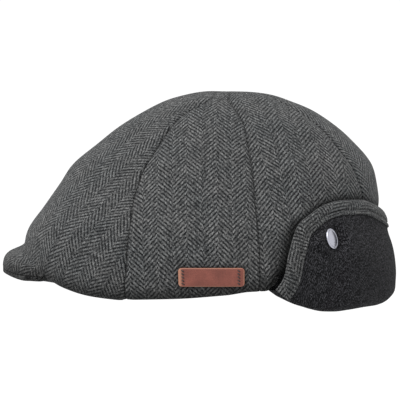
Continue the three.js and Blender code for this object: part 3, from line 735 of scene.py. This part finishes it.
def make_panel(name, node, place, columns, crown_rows, grain, seed, side=1.0):
    """A panel between two seams, with its cloth laid along its grain. The right ones are mirror images."""
    grid = soften(panel_grid(place, columns, crown_rows), SOFTENINGS)
    uv = settle(grid, flatten(grid), *grain)
    grid, shade = sewn(grid, seed, name == "side_cloth_left")
    inner = grid - grid_normals(grid) * WOOL_THICKNESS
    mirror = np.array([side, 1.0, 1.0])
    dress(make_wall(name, grid * mirror, inner * mirror, uv, wool, shade), node)


# The panels' places, counted from the front
FRONT, SIDE, REAR, BACK = range(4)
# Each panel's grain runs from one point to another, both (y, z), and a valley of its weave passes a third
FRONT_GRAIN = ((-139, 44), (-60, 126), (-100, 60))
SIDE_GRAIN = ((-12.8, 30), (-12.8, 110), (-16.9, 60))
REAR_GRAIN = ((60, 62), (45, 124), (37, 78))
BACK_GRAIN = ((104, 66), (62, 127), (104, 80))
make_panel("front_cloth", "panel_front", FRONT, 150, 110, FRONT_GRAIN, seed=1)
make_panel("side_cloth_left", "panel_side_left", SIDE, 60, 110, SIDE_GRAIN, seed=2)
make_panel("side_cloth_right", "panel_side_right", SIDE, 60, 110, SIDE_GRAIN, seed=3, side=-1.0)
make_panel("rear_cloth_left", "panel_rear_left", REAR, 70, 110, REAR_GRAIN, seed=4)
make_panel("rear_cloth_right", "panel_rear_right", REAR, 70, 110, REAR_GRAIN, seed=5, side=-1.0)
make_panel("back_cloth", "panel_back", BACK, 60, 90, BACK_GRAIN, seed=6)

# Peak: a short stiff board under the lip of the front panel, covered below in the same cloth, made darker as
# painted shade. Its edge shows under the lip's seam as a dark line of painted shade.
PEAK_END, PEAK_THICKNESS = 58, 4.2
PEAK_INSIDE, PEAK_OVER_HEM = WOOL_THICKNESS + 1.8, 4.4
EDGE_LEAST, EDGE_FULL_REACH = 0.2, 4
TIP_AT_CORNER, TIP_AT_MIDDLE = 1.5, 2.5
ROOT_AT_CORNER, ROOT_AT_MIDDLE = 1.8, 3.7
# TIP_SHADE is the painted shade of the board's tip under the lip's seam
TIP_TOP, TIP_SHADE = 0.1, 0.5
TIP_TOP_SHARES = (0, 0.5, 1)
TIP_UNDER_SHARES = ((0.35, 0), (0.75, 0.55), (1, 1))
EDGE_FROM, EDGE_ABOVE, EDGE_BELOW = 0.9, 0.3, 1.6
CORNER_BEFORE, CORNER_PAST = 2, 5
PEAK_COLUMNS, PEAK_ROWS = 161, 24
BROW_SIDE, BROW_FRONT, BROW_END = 88, 106, 50
BROW_CENTRE_HEIGHT, BROW_END_HEIGHT, BROW_WAVE = 12, 3, 1.6
# The same wool at a darker tone, as painted shade under the peak
shaded_wool_under = herringbone("herringbone_underside", tone=0.62)


def at_height(points, height):
    points = points.copy()
    points[:, 2] = height
    return points


def peak_grids(angles, shares):
    """Upper and lower faces of the peak, from the forehead out to its edge under the lip."""
    side = np.abs(angles)
    at = np.minimum(side / LIP_CORNER, 1)
    reach = np.where(side <= LIP_CORNER, read(LIP, "share", "reach", at), 0)
    over_hem = read(HEM, "angle", "height", side) + PEAK_OVER_HEM
    past_corner = smooth(side, LIP_CORNER - CORNER_BEFORE, LIP_CORNER + CORNER_PAST)
    height = mix(read(LIP, "share", "edge", at), over_hem, past_corner)
    out = unit(normal_of(crown, angles, row_at(height)) * np.array([1.0, 1.0, 0.0]))
    turn = np.radians(angles * BROW_END / PEAK_END)
    rise = mix(BROW_END_HEIGHT, BROW_CENTRE_HEIGHT, np.cos(turn * BROW_WAVE) ** 2)
    brow = np.stack([BROW_SIDE * np.sin(turn), -BROW_FRONT * np.cos(turn), rise], -1)
    ledge = mix(EDGE_LEAST, PEAK_INSIDE, smooth(reach, 0, EDGE_FULL_REACH))
    back = lip_edge(angles, reach, height) - out * PEAK_INSIDE
    tip = back + out * ledge[:, None]
    middling = smooth(reach, 0, LIP_FULL_REACH)
    root = height - mix(ROOT_AT_CORNER, ROOT_AT_MIDDLE, middling)
    low = height - mix(TIP_AT_CORNER, TIP_AT_MIDDLE, middling)
    up = np.array([0.0, 0.0, PEAK_THICKNESS / 2])
    top, under = [], []
    for share in shares:
        middle, edge = mix(brow, back, share), smooth(share, EDGE_FROM, 1)
        top.append(middle + up * mix(1, EDGE_ABOVE, edge))
        under.append(middle - up * mix(1, EDGE_BELOW, edge))
    top += [at_height(mix(back, tip, out), height - TIP_TOP) for out in TIP_TOP_SHARES]
    under += [at_height(mix(back, tip, out), mix(root, low, down)) for out, down in TIP_UNDER_SHARES]
    return np.stack(top, axis=1), np.stack(under, axis=1)


top, under = peak_grids(np.linspace(-PEAK_END, PEAK_END, PEAK_COLUMNS), np.linspace(0, 1, PEAK_ROWS))
# Painted shade: the tip's rows under the lip's seam are darker
tip_shade = np.where(np.arange(top.shape[1]) < PEAK_ROWS, 1.0, TIP_SHADE)
board = make_wall("peak_board", top, under, under[..., :2] * MM, shaded_wool_under, tip_shade)
dress(board, "peak")

# Ear flap: a band of fine charcoal rib knit from ear to ear, sewn inside the crown, folded at the bottom
# and turned up outside. It swells away from the crown, most of all at the back.
KNIT_THICKNESS = 2.6
FLAP_INNER_OFFSET = -4.9 - TUCK_DEPTH * 0.7
FOLD_READ_ABOVE, FOLD_READ_LOWEST, FOLD_UNDER_EDGE = 8, 4, 0.6
FLAP_BACK_FROM, FLAP_BACK_FULL = 118, 168
SNAP_ANGLE, SNAP_HEIGHT = 127.9, 39.6
SNAP_TURN, SNAP_TILT = math.radians(60), math.radians(14)
SEAT_OFFSET, SEAT_FLAT, SEAT_BLEND, SEAT_FROM, SEAT_FULL = 6.0, 8.2, 13.5, 11, 15
# How far the knit's outer face stands off the crown, by depth below its free edge: at the sides and at the
# back
SWELL = table(
    "depth beside back",
    (0, 3.2, 3.2),
    (4, 3.5, 4.8),
    (9, 4.2, 7.3),
    (14, 5.1, 8.3),
    (22, 6.7, 10),
    (31, 8.2, 11.9),
    (44, 9.3, 13.6),
    (65, 9.6, 13.6),
)
RIB, KNIT_STITCH, FIRST_RIB = 0.00125, 0.00115, 900.0
STRAND_WIDTH, STRAND_LENGTH = 0.0005, 0.0012
KNIT_TONES = ((0.0012, 0.0012, 0.0014), (0.0095, 0.0095, 0.0105), (0.055, 0.055, 0.06))


def rib_knit(name):
    """Fine rib knit: upright ribs, each a chain of small stitches, in slightly hairy charcoal yarn."""
    finish = Finish(name, Roughness=1.0, Specular_IOR_Level=0.05, Sheen_Weight=0.03, Sheen_Roughness=0.4)
    across, along = finish.uv()
    rib = across / RIB + finish.noise(70.0, 2.0) * 0.35 + FIRST_RIB
    stitch = along / KNIT_STITCH + FIRST_RIB
    wave = (rib * (2 * math.pi)).sine()
    lean = (stitch + abs(rib % 1.0 - 0.5) * 0.9) % 1.0 - 0.5
    loop = 0.25 - lean * lean
    fibre = finish.noise(2200.0, 3.0)
    strands = finish.node("ShaderNodeCombineXYZ", None, across / STRAND_WIDTH, along / STRAND_LENGTH, 0.0)
    streaks = finish.node("ShaderNodeTexNoise", None, Vector=strands.outputs[0], Scale=1.0, Detail=2.0)
    streak = finish.number(streaks)
    fleck = finish.chance(rib.floor(), stitch.floor(), 2.0)
    tone = wave * 0.08 + loop * 0.15 + streak * 1.9 + fibre * 0.35 + fleck * 0.25 - 0.79
    low, middle, high = KNIT_TONES
    finish.feed("Base Color", finish.ramp(tone, (0.2, low), (0.5, middle), (0.85, high)))
    finish.bump((wave * 0.00016 + loop * 0.0005, 0.7), (fibre * 0.0006, 0.35))
    return finish.material


knit = rib_knit("rib_knit")
snap_middle = on_crown(SNAP_ANGLE, SNAP_HEIGHT)
snap_normal = normal_of(crown, np.array(SNAP_ANGLE), row_at(SNAP_HEIGHT))
snap_facing = np.array([
    math.cos(SNAP_TURN) * math.cos(SNAP_TILT),
    math.sin(SNAP_TURN) * math.cos(SNAP_TILT),
    math.sin(SNAP_TILT),
])


def flap_offset(angle, height):
    """How far the knit's outer face stands off the crown: swelling with depth, but flat under the snap."""
    point = on_crown(angle, height)
    depth = edge_depth(point)
    away = point - snap_middle
    drop = away @ snap_normal
    flat = away - drop[..., None] * snap_normal
    seat = SEAT_OFFSET - drop - (flat @ snap_facing) / (snap_normal @ snap_facing)
    near = 1 - smooth(np.linalg.norm(flat, axis=-1), SEAT_FLAT, SEAT_BLEND)
    back = smooth(from_front(angle), FLAP_BACK_FROM, FLAP_BACK_FULL)
    swell = mix(read(SWELL, "depth", "beside", depth), read(SWELL, "depth", "back", depth), back)
    return mix(swell, seat, near * smooth(depth, SEAT_FROM, SEAT_FULL))


def flap_grids(lines, leg, fold, inside):
    """Outer and inner faces of the knit: down its outer leg, round the fold and up inside."""
    at = {name: read(FLAP, "line", name, lines)[:, None] for name in FLAP if name != "line"}
    half = KNIT_THICKNESS / 2
    low_height = np.maximum(at["fold_height"] + FOLD_READ_ABOVE, FOLD_READ_LOWEST)
    low = flap_offset(at["fold"], low_height) - half
    radius = (low - FLAP_INNER_OFFSET) / 2
    centre = np.minimum(at["fold_height"] + half + radius, at["edge_height"] - FOLD_UNDER_EDGE)
    parts = []

    def add(angle, height, offset, out, up):
        angle, height, offset, out, up = np.broadcast_arrays(angle, height, offset, out, up)
        faces = [on_crown(angle, height + step * up, offset + step * out) for step in (half, -half)]
        parts.append(faces)

    share = leg[None, :]
    angle = mix(at["edge"], at["fold"], share)
    height = mix(at["edge_height"], centre, share)
    add(angle, height, flap_offset(angle, height) - half, 1.0, 0.0)
    turn = math.pi * fold[None, :]
    offset = (low + FLAP_INNER_OFFSET) / 2 + radius * np.cos(turn)
    deep = centre - at["fold_height"] - half
    add(at["fold"], centre - deep * np.sin(turn), offset, np.cos(turn), -np.sin(turn))
    share = inside[None, :]
    angle = mix(at["fold"], at["inside"], share)
    add(angle, mix(centre, at["inside_height"], share), FLAP_INNER_OFFSET, -1.0, 0.0)
    return [np.concatenate([part[k] for part in parts], axis=1) for k in (0, 1)]


SEWN_ANGLE, SEWN_LOWEST, SEWN_ROWS = 104.6, 6.4, 5
SEWN_OUTER, SEWN_INNER = (-3.4, -6.6), (-4.5, -5.5)
WAVE_DEPTH, WAVE_LENGTH, WAVE_SEED, WAVES_FROM_EDGE = 0.45, 34, 11, (12, 24)
FLAP_LINES, FLAP_MEASURED_COLUMN = 150, 24


def sewn_end(grid, offset):
    """The grid with its front end carried on to where it is sewn inside the crown, at an offset from it."""
    sewn_at = on_crown(SEWN_ANGLE, np.maximum(grid[0, :, 2], SEWN_LOWEST), offset)
    shares = np.linspace(1, 0, SEWN_ROWS, endpoint=False)[:, None, None]
    return np.concatenate([mix(grid[0], sewn_at, shares), grid])


def both_halves(grid):
    """A grid that ends at centre back, with its mirror image joined on."""
    return np.concatenate([grid, (grid * np.array([-1.0, 1.0, 1.0]))[-2::-1]])


def strip_uv(grid, column):
    """Distance round a band, measured on one of its columns, and distance up it, in metres."""
    around = np.linalg.norm(np.diff(grid[:, column], axis=0), axis=-1)
    down = np.linalg.norm(np.diff(grid, axis=1), axis=-1)
    u = np.concatenate([[0.0], np.cumsum(around)])[:, None]
    v = np.concatenate([np.zeros((len(grid), 1)), np.cumsum(down, axis=1)], axis=1)
    return np.stack(np.broadcast_arrays(u, -v), -1) * MM


leg_shares = np.linspace(0, 1, 47)[:-1]
fold_shares = np.linspace(0, 1, 15)
inside_shares = np.linspace(0, 1, 30)[1:]
outer, inner = flap_grids(np.linspace(0, FLAP_END, FLAP_LINES), leg_shares, fold_shares, inside_shares)
turned_up = np.arange(outer.shape[1]) < len(leg_shares) + len(fold_shares) / 2
outer = soften(both_halves(sewn_end(outer, np.where(turned_up, *SEWN_OUTER))), SOFTENINGS)
inner = soften(both_halves(sewn_end(inner, np.where(turned_up, *SEWN_INNER))), SOFTENINGS)
waves = WAVE_DEPTH * unevenness(outer, WAVE_LENGTH, WAVE_SEED)
waves *= smooth(edge_depth(outer), *WAVES_FROM_EDGE)
outer = outer - grid_normals(outer) * waves[..., None]
flap = make_wall("knit_flap", outer, inner, strip_uv(outer, FLAP_MEASURED_COLUMN), knit)
dress(flap, "earflap")

# Binding: a strip of the crown's cloth cut on the bias, wrapped over the flap's free edge as a round bead
# and stitched down in a groove, with a narrow second row inside it. The rows below run across its section:
# depth in from the flap's edge and rise off the knit, of its outer face and of its underside.
BINDING = table(
    "depth rise under_depth under_rise",
    (-0.9, -2.4, -0.5, -2.4),
    (-1.5, -0.9, -0.5, -1.2),
    (-0.7, 0.7, -0.5, 0.3),
    (1.0, 1.7, 0.8, 0.6),
    (3.0, 2.1, 3.0, 0.6),
    (5.0, 1.7, 5.0, 0.6),
    (6.1, 0.75, 6.1, 0.4),
    (7.0, 1.4, 7.0, 0.6),
    (8.2, 1.35, 8.2, 0.6),
    (9.2, 0.6, 9.2, 0.3),
)
BINDING_FROM, BINDING_SLANT, BINDING_SLANT_LINES = 0.14, math.radians(6), 1.2
EDGE_SPAN = 0.7
END_ROLL, END_TURN, END_ROWS, ROWS_TO_END = 1.4, 110, 6, 3
BINDING_LINES, BINDING_COLUMNS, BINDING_MEASURED_COLUMN = 260, 37, 16
wool_bias = herringbone("herringbone_binding", turn=math.radians(45), tone=0.86)


def binding_grids(lines, section):
    """Outer and inner faces of the binding along the flap's free edge."""
    edge, height = read(FLAP, "line", "edge", lines), read(FLAP, "line", "edge_height", lines)
    ahead, behind = np.clip(lines + EDGE_SPAN, 0, FLAP_END), np.clip(lines - EDGE_SPAN, 0, FLAP_END)
    row = row_at(height)
    per_degree = np.linalg.norm(crown(edge + 0.5, row) - crown(edge - 0.5, row), axis=-1)
    run = (read(FLAP, "line", "edge", ahead) - read(FLAP, "line", "edge", behind)) * per_degree
    climb = read(FLAP, "line", "edge_height", ahead) - read(FLAP, "line", "edge_height", behind)
    inward = np.arctan2(-run, climb) - BINDING_SLANT * (1 - smooth(lines, 0, BINDING_SLANT_LINES))

    def face(depth, rise):
        depth = depth[None, :]
        angle = edge[:, None] + depth * np.cos(inward)[:, None] / per_degree[:, None]
        high = height[:, None] + depth * np.sin(inward)[:, None]
        knit_at = np.where(depth < 0, flap_offset(edge, height)[:, None], flap_offset(angle, high))
        return on_crown(angle, high, knit_at + rise[None, :])

    return face(section["depth"], section["rise"]), face(section["under_depth"], section["under_rise"])


def turned_under(grid):
    """The grid with its front end rolled in under the flap."""
    onward = unit(grid[0] - grid[ROWS_TO_END])
    edge, height = FLAP["edge"][0], FLAP["edge_height"][0]
    outward = unit(on_crown(edge, height, 1.0) - on_crown(edge, height))
    turn = np.radians(np.linspace(END_TURN, 0, END_ROWS, endpoint=False))[:, None, None]
    rolled = grid[0] + END_ROLL * (np.sin(turn) * onward - (1 - np.cos(turn)) * outward)
    return np.concatenate([rolled, grid])


last_row = len(BINDING["depth"]) - 1
rows = {"at": np.arange(last_row + 1.0), **BINDING}
section = {name: read(rows, "at", name, np.linspace(0, last_row, BINDING_COLUMNS)) for name in BINDING}
outer, inner = binding_grids(np.linspace(BINDING_FROM, FLAP_END, BINDING_LINES), section)
outer, inner = both_halves(turned_under(outer)), both_halves(turned_under(inner))
binding_uv = strip_uv(outer, BINDING_MEASURED_COLUMN)
binding = make_wall("binding_strip", outer, inner, binding_uv, wool_bias)
dress(binding, "earflap_binding")

# Snaps: a domed cap of bright nickel on each side of the flap, with a rolled rim and a fine groove inside
# it, pressed on through the knit
SNAP_STANDOFF, SNAP_SIDES = 0.7, 64
SNAP_PROFILE = table(
    "radius rise",
    (6.7, 0),
    (7.05, 0.2),
    (7.2, 0.6),
    (7.15, 1.0),
    (6.85, 1.3),
    (6.45, 1.38),
    (6.1, 1.27),
    (5.85, 1.18),
    (5.5, 1.25),
    (4.6, 1.5),
    (3.4, 1.75),
    (2.2, 1.92),
    (1.0, 1.99),
)


def nickel(name):
    """Bright nickel with fine scuffs."""
    finish = Finish(name, Metallic=1.0, Base_Color=(0.45, 0.455, 0.515, 1))
    finish.feed("Roughness", finish.noise(900.0, 4.0) * 0.25 + 0.18)
    finish.bump((finish.noise(350.0, 2.0) * 0.0003, 0.25))
    return finish.material


snap_finish = nickel("snap_nickel")
snap_seat = on_crown(SNAP_ANGLE, SNAP_HEIGHT, SEAT_OFFSET) + snap_facing * SNAP_STANDOFF
snap_aside = unit(np.cross([0.0, 0.0, 1.0], snap_facing))
snap_upward = np.cross(snap_facing, snap_aside)
turns = np.linspace(0, 2 * math.pi, SNAP_SIDES, endpoint=False)[:, None]
spokes = np.cos(turns) * snap_aside + np.sin(turns) * snap_upward
radius, rise = (SNAP_PROFILE[name][:, None, None] for name in ("radius", "rise"))
rings = snap_seat + radius * spokes[None] + rise * snap_facing
for name, node, way in (("snap_cap_left", "snap_left", 1), ("snap_cap_right", "snap_right", -1)):
    points = rings.reshape(-1, 3) * np.array([way, 1, 1]) * MM
    faces = [tuple(range(SNAP_SIDES))[::-1], tuple(range(len(points) - SNAP_SIDES, len(points)))]
    for ring in range(len(rings) - 1):
        for side in range(SNAP_SIDES):
            here, beside = ring * SNAP_SIDES + side, ring * SNAP_SIDES + (side + 1) % SNAP_SIDES
            faces.append((here, beside, beside + SNAP_SIDES, here + SNAP_SIDES))
    mesh = bpy.data.meshes.new(name)
    mesh.from_pydata([tuple(point) for point in points], [], [face[::way] for face in faces])
    mesh.polygons.foreach_set("use_smooth", np.ones(len(faces), bool))
    mesh.materials.append(snap_finish)
    dress(add_object(name, mesh), node)

# Label: a bare tab of reddish brown leather on the wearer's left, its corners rounded, sewn on at each end
# with slanted stitches of black thread
LABEL_Y, LABEL_HEIGHT = -11.3, 15.5
LABEL_LENGTH, LABEL_WIDTH, LABEL_CORNER = 44, 12.1, 2.2
LEATHER_THICKNESS, LABEL_GAP, LABEL_EDGE = 1.8, 0.35, 0.45
LEATHER_TONES = ((0.09, 0.022, 0.014), (0.135, 0.035, 0.023), (0.19, 0.052, 0.035))
WORN_LEATHER = (0.33, 0.16, 0.1, 1)


def leather(name):
    """Smooth dyed leather: fine grain, faint mottling, and worn paler edges."""
    finish = Finish(name, Specular_IOR_Level=0.4)
    along, up = finish.uv()
    grain, mottle = finish.noise(1500.0, 4.0), finish.noise(120.0, 3.0)
    low, middle, high = LEATHER_TONES
    colour = finish.ramp(grain * 0.45 + mottle * 0.65, (0.3, low), (0.55, middle), (0.8, high))
    to_end = LABEL_LENGTH / 2 * MM - abs(along)
    to_side = LABEL_WIDTH / 2 * MM - abs(up)
    worn = 1 - to_end.least(to_side + mottle * 0.0006).between(0.0, 0.0011)
    raw_end = 1 - (along + LABEL_LENGTH / 2 * MM + mottle * 0.001).between(0.0016, 0.0034)
    finish.feed("Base Color", finish.blend(worn.most(raw_end) * 0.8, colour, WORN_LEATHER))
    finish.feed("Roughness", grain * 0.25 + 0.42)
    finish.bump((grain * 0.00035, 0.5), (mottle * 0.0012, 0.25))
    return finish.material


def angle_at(y, height):
    """Angle of the point of the side panel that lies at a y and a height."""
    low, high = (np.full_like(y, float(edge)) for edge in panel_edges(height)[SIDE:SIDE + 2])
    for _ in range(HALVINGS):
        middle = (low + high) / 2
        ahead = on_crown(middle, height)[..., 1] < y
        low, high = np.where(ahead, middle, low), np.where(ahead, high, middle)
    return low


def on_label(along, up, offset):
    """A point of the label, from its distances along and up from the label's middle."""
    along, up, offset = np.broadcast_arrays(*(np.asarray(v, float) for v in (along, up, offset)))
    return on_crown(angle_at(LABEL_Y + along, LABEL_HEIGHT), LABEL_HEIGHT + up, offset)


end_stops = np.array([0, 0.25, 0.6, 1.1, 1.7, 2.3])
stops = np.concatenate([end_stops, np.linspace(3, LABEL_LENGTH - 3, 39), LABEL_LENGTH - end_stops[::-1]])
along = (stops - LABEL_LENGTH / 2)[:, None]
beyond = np.maximum(np.abs(along) - (LABEL_LENGTH / 2 - LABEL_CORNER), 0)
half = LABEL_WIDTH / 2 - LABEL_CORNER + np.sqrt(np.maximum(LABEL_CORNER**2 - beyond**2, 0.04))
side_stops = np.array([-1, -0.98, -0.94, -0.88])
across = np.concatenate([side_stops, np.linspace(-0.8, 0.8, 13), -side_stops[::-1]])[None, :]
up = half * across
from_edge = np.minimum(half * (1 - np.abs(across)), LABEL_LENGTH / 2 - np.abs(along))
rounding = LABEL_EDGE * (1 - np.sqrt(1 - np.clip(1 - from_edge / LABEL_EDGE, 0, 1) ** 2))
outer = on_label(along, up, LABEL_GAP + LEATHER_THICKNESS - rounding)
inner = on_label(along, up, LABEL_GAP)
label_uv = np.stack(np.broadcast_arrays(along, up), -1) * MM
label = make_wall("label_tab", outer, inner, label_uv, leather("label_leather"))
dress(label, "label_patch")

STITCH_ROWS, STITCHES, STITCH_INSET = (-18.9, 18.3), 5, 1.9
STITCH_LENGTH, STITCH_THICKNESS, STITCH_SLANT = 2.0, 0.75, math.radians(55)
OUTWARD_STEP = 9.0


def stitch_tree(thread):
    """Slanted stitches along a guide curve, each a bent thread whose ends dip into the leather."""
    tree = bpy.data.node_groups.new("slanted_stitches", "GeometryNodeTree")
    sockets = tree.interface
    sockets.new_socket("Guide", in_out="INPUT", socket_type="NodeSocketGeometry")
    for name, kind in (("Count", "Int"), ("Length", "Float"), ("Thickness", "Float"), ("Slant", "Float")):
        sockets.new_socket(name, in_out="INPUT", socket_type="NodeSocket" + kind)
    sockets.new_socket("Outward", in_out="INPUT", socket_type="NodeSocketVector")
    sockets.new_socket("Stitches", in_out="OUTPUT", socket_type="NodeSocketGeometry")
    given = add_node(tree, "NodeGroupInput").outputs
    length, thickness = Number(tree, given["Length"]), Number(tree, given["Thickness"])
    start = add_node(tree, "ShaderNodeCombineXYZ", None, length * -0.5, 0.0, thickness * -0.35).outputs[0]
    middle = add_node(tree, "ShaderNodeCombineXYZ", None, 0.0, 0.0, thickness * 1.1).outputs[0]
    end = add_node(tree, "ShaderNodeCombineXYZ", None, length * 0.5, 0.0, thickness * -0.35).outputs[0]
    arc = add_node(tree, "GeometryNodeCurveQuadraticBezier", None, 8, start, middle, end).outputs[0]
    circle = add_node(tree, "GeometryNodeCurvePrimitiveCircle", None, Resolution=8, Radius=thickness * 0.5)
    ring = circle.outputs[0]
    body = add_node(tree, "GeometryNodeCurveToMesh", None, Curve=arc, Profile_Curve=ring, Fill_Caps=True)
    stitch = body.outputs[0]
    guide, count = given["Guide"], given["Count"]
    spots = add_node(tree, "GeometryNodeCurveToPoints", {"mode": "COUNT"}, Curve=guide, Count=count)
    seats = spots.outputs["Points"]
    facing = add_node(tree, "FunctionNodeAlignRotationToVector", {"axis": "Z"}, Vector=given["Outward"])
    slant = add_node(tree, "ShaderNodeCombineXYZ", None, 0.0, 0.0, given["Slant"])
    slanted = add_node(tree, "FunctionNodeEulerToRotation", None, slant.outputs[0])
    settings = {"rotation_space": "LOCAL"}
    both = add_node(tree, "FunctionNodeRotateRotation", settings, facing.outputs[0], slanted.outputs[0])
    turned = both.outputs[0]
    copies = add_node(
        tree, "GeometryNodeInstanceOnPoints", None, Points=seats, Instance=stitch, Rotation=turned
    )
    real = add_node(tree, "GeometryNodeRealizeInstances", None, copies.outputs[0])
    dyed = add_node(tree, "GeometryNodeSetMaterial", None, Geometry=real.outputs[0], Material=thread)
    result = add_node(tree, "NodeGroupOutput")
    tree.links.new(dyed.outputs[0], result.inputs[0])
    return tree


def guide_curve(name, points):
    """A curve through points in millimetres."""
    data = bpy.data.curves.new(name, "CURVE")
    data.dimensions = "3D"
    line = data.splines.new("POLY")
    line.points.add(len(points) - 1)
    for spot, point in zip(line.points, points):
        spot.co = (*(point * MM), 1)
    return add_object(name, data)


def grow(name, guide, tree, **sizes):
    """The plain mesh that a Geometry Nodes tree makes from a guide."""
    modifier = guide.modifiers.new(name, "NODES")
    modifier.node_group = tree
    for socket in tree.interface.items_tree:
        if socket.in_out == "INPUT" and socket.name in sizes:
            modifier[socket.identifier] = sizes[socket.name]
    ready = guide.evaluated_get(bpy.context.evaluated_depsgraph_get())
    mesh = bpy.data.meshes.new_from_object(ready)
    guide.modifiers.remove(modifier)
    bpy.data.objects.remove(guide)
    mesh.polygons.foreach_set("use_smooth", np.ones(len(mesh.polygons), bool))
    return add_object(name, mesh)


thread = Finish("black_thread", Base_Color=(0.008, 0.007, 0.007, 1), Roughness=0.6)
thread.bump((thread.noise(3000.0, 2.0) * 0.0003, 0.4))
stitching = stitch_tree(thread.material)
for name, place in zip(("label_stitches_front", "label_stitches_back"), STITCH_ROWS):
    ups = np.linspace(STITCH_INSET - LABEL_WIDTH / 2, LABEL_WIDTH / 2 - STITCH_INSET, STITCHES)
    seats = on_label(np.full_like(ups, place), ups, LABEL_GAP + LEATHER_THICKNESS)
    on_face, off_face = on_label(np.full(2, place), 0.0, (0.0, OUTWARD_STEP))
    stitches = grow(
        name,
        guide_curve(name, seats),
        stitching,
        Count=STITCHES,
        Length=STITCH_LENGTH * MM,
        Thickness=STITCH_THICKNESS * MM,
        Slant=STITCH_SLANT,
        Outward=tuple(unit(off_face - on_face)),
    )
    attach(stitches, "root")

# Stage: a pale floor well below the cap, white surroundings, and one soft sun from above, a little to the
# front and to the wearer's left
FLOOR_Z, FLOOR_HALF = -0.26, 6
SURROUNDINGS = 1.06
SUN_FROM, SUN_SPREAD, SUN_STRENGTH = (0.6, -0.35, 1.0), math.radians(50), 3.4
pale = Finish("pale_floor", Roughness=0.9, Base_Color=(0.56, 0.56, 0.56, 1))
ways = ((-1, -1), (1, -1), (1, 1), (-1, 1))
corners = np.array([(FLOOR_HALF * x, FLOOR_HALF * y, FLOOR_Z) for x, y in ways]) / MM
floor = make_mesh("pale_floor", corners, np.array([[0, 1, 2, 3]]), None, pale.material)

world = bpy.data.worlds.new("studio")
world.use_nodes = True
world.node_tree.nodes["Background"].inputs["Color"].default_value = (1, 1, 1, 1)
world.node_tree.nodes["Background"].inputs["Strength"].default_value = SURROUNDINGS
bpy.context.scene.world = world
bpy.context.scene.view_settings.view_transform = "Standard"
sun_light = bpy.data.lights.new("key", "SUN")
sun_light.angle = SUN_SPREAD
sun_light.energy = SUN_STRENGTH
sun = add_object("key", sun_light)
sun.rotation_euler = Vector(SUN_FROM).to_track_quat("Z", "Y").to_euler()

# Camera: level, square to the wearer's left side, two metres off the cap's middle, with a frame 280 mm
# wide there
CAMERA_DISTANCE, FRAME_WIDTH = 2.0, 0.280
AIM_Y, AIM_Z = -0.0189, 0.0669
SENSOR = 36.0
camera_data = bpy.data.cameras.new("camera")
camera_data.sensor_width = SENSOR
camera_data.lens = SENSOR * CAMERA_DISTANCE / FRAME_WIDTH
camera_data.clip_end = 50
camera = add_object("camera", camera_data)
camera.location = (CAMERA_DISTANCE, AIM_Y, AIM_Z)
camera.rotation_euler = (math.pi / 2, 0, math.pi / 2)
bpy.context.scene.camera = camera
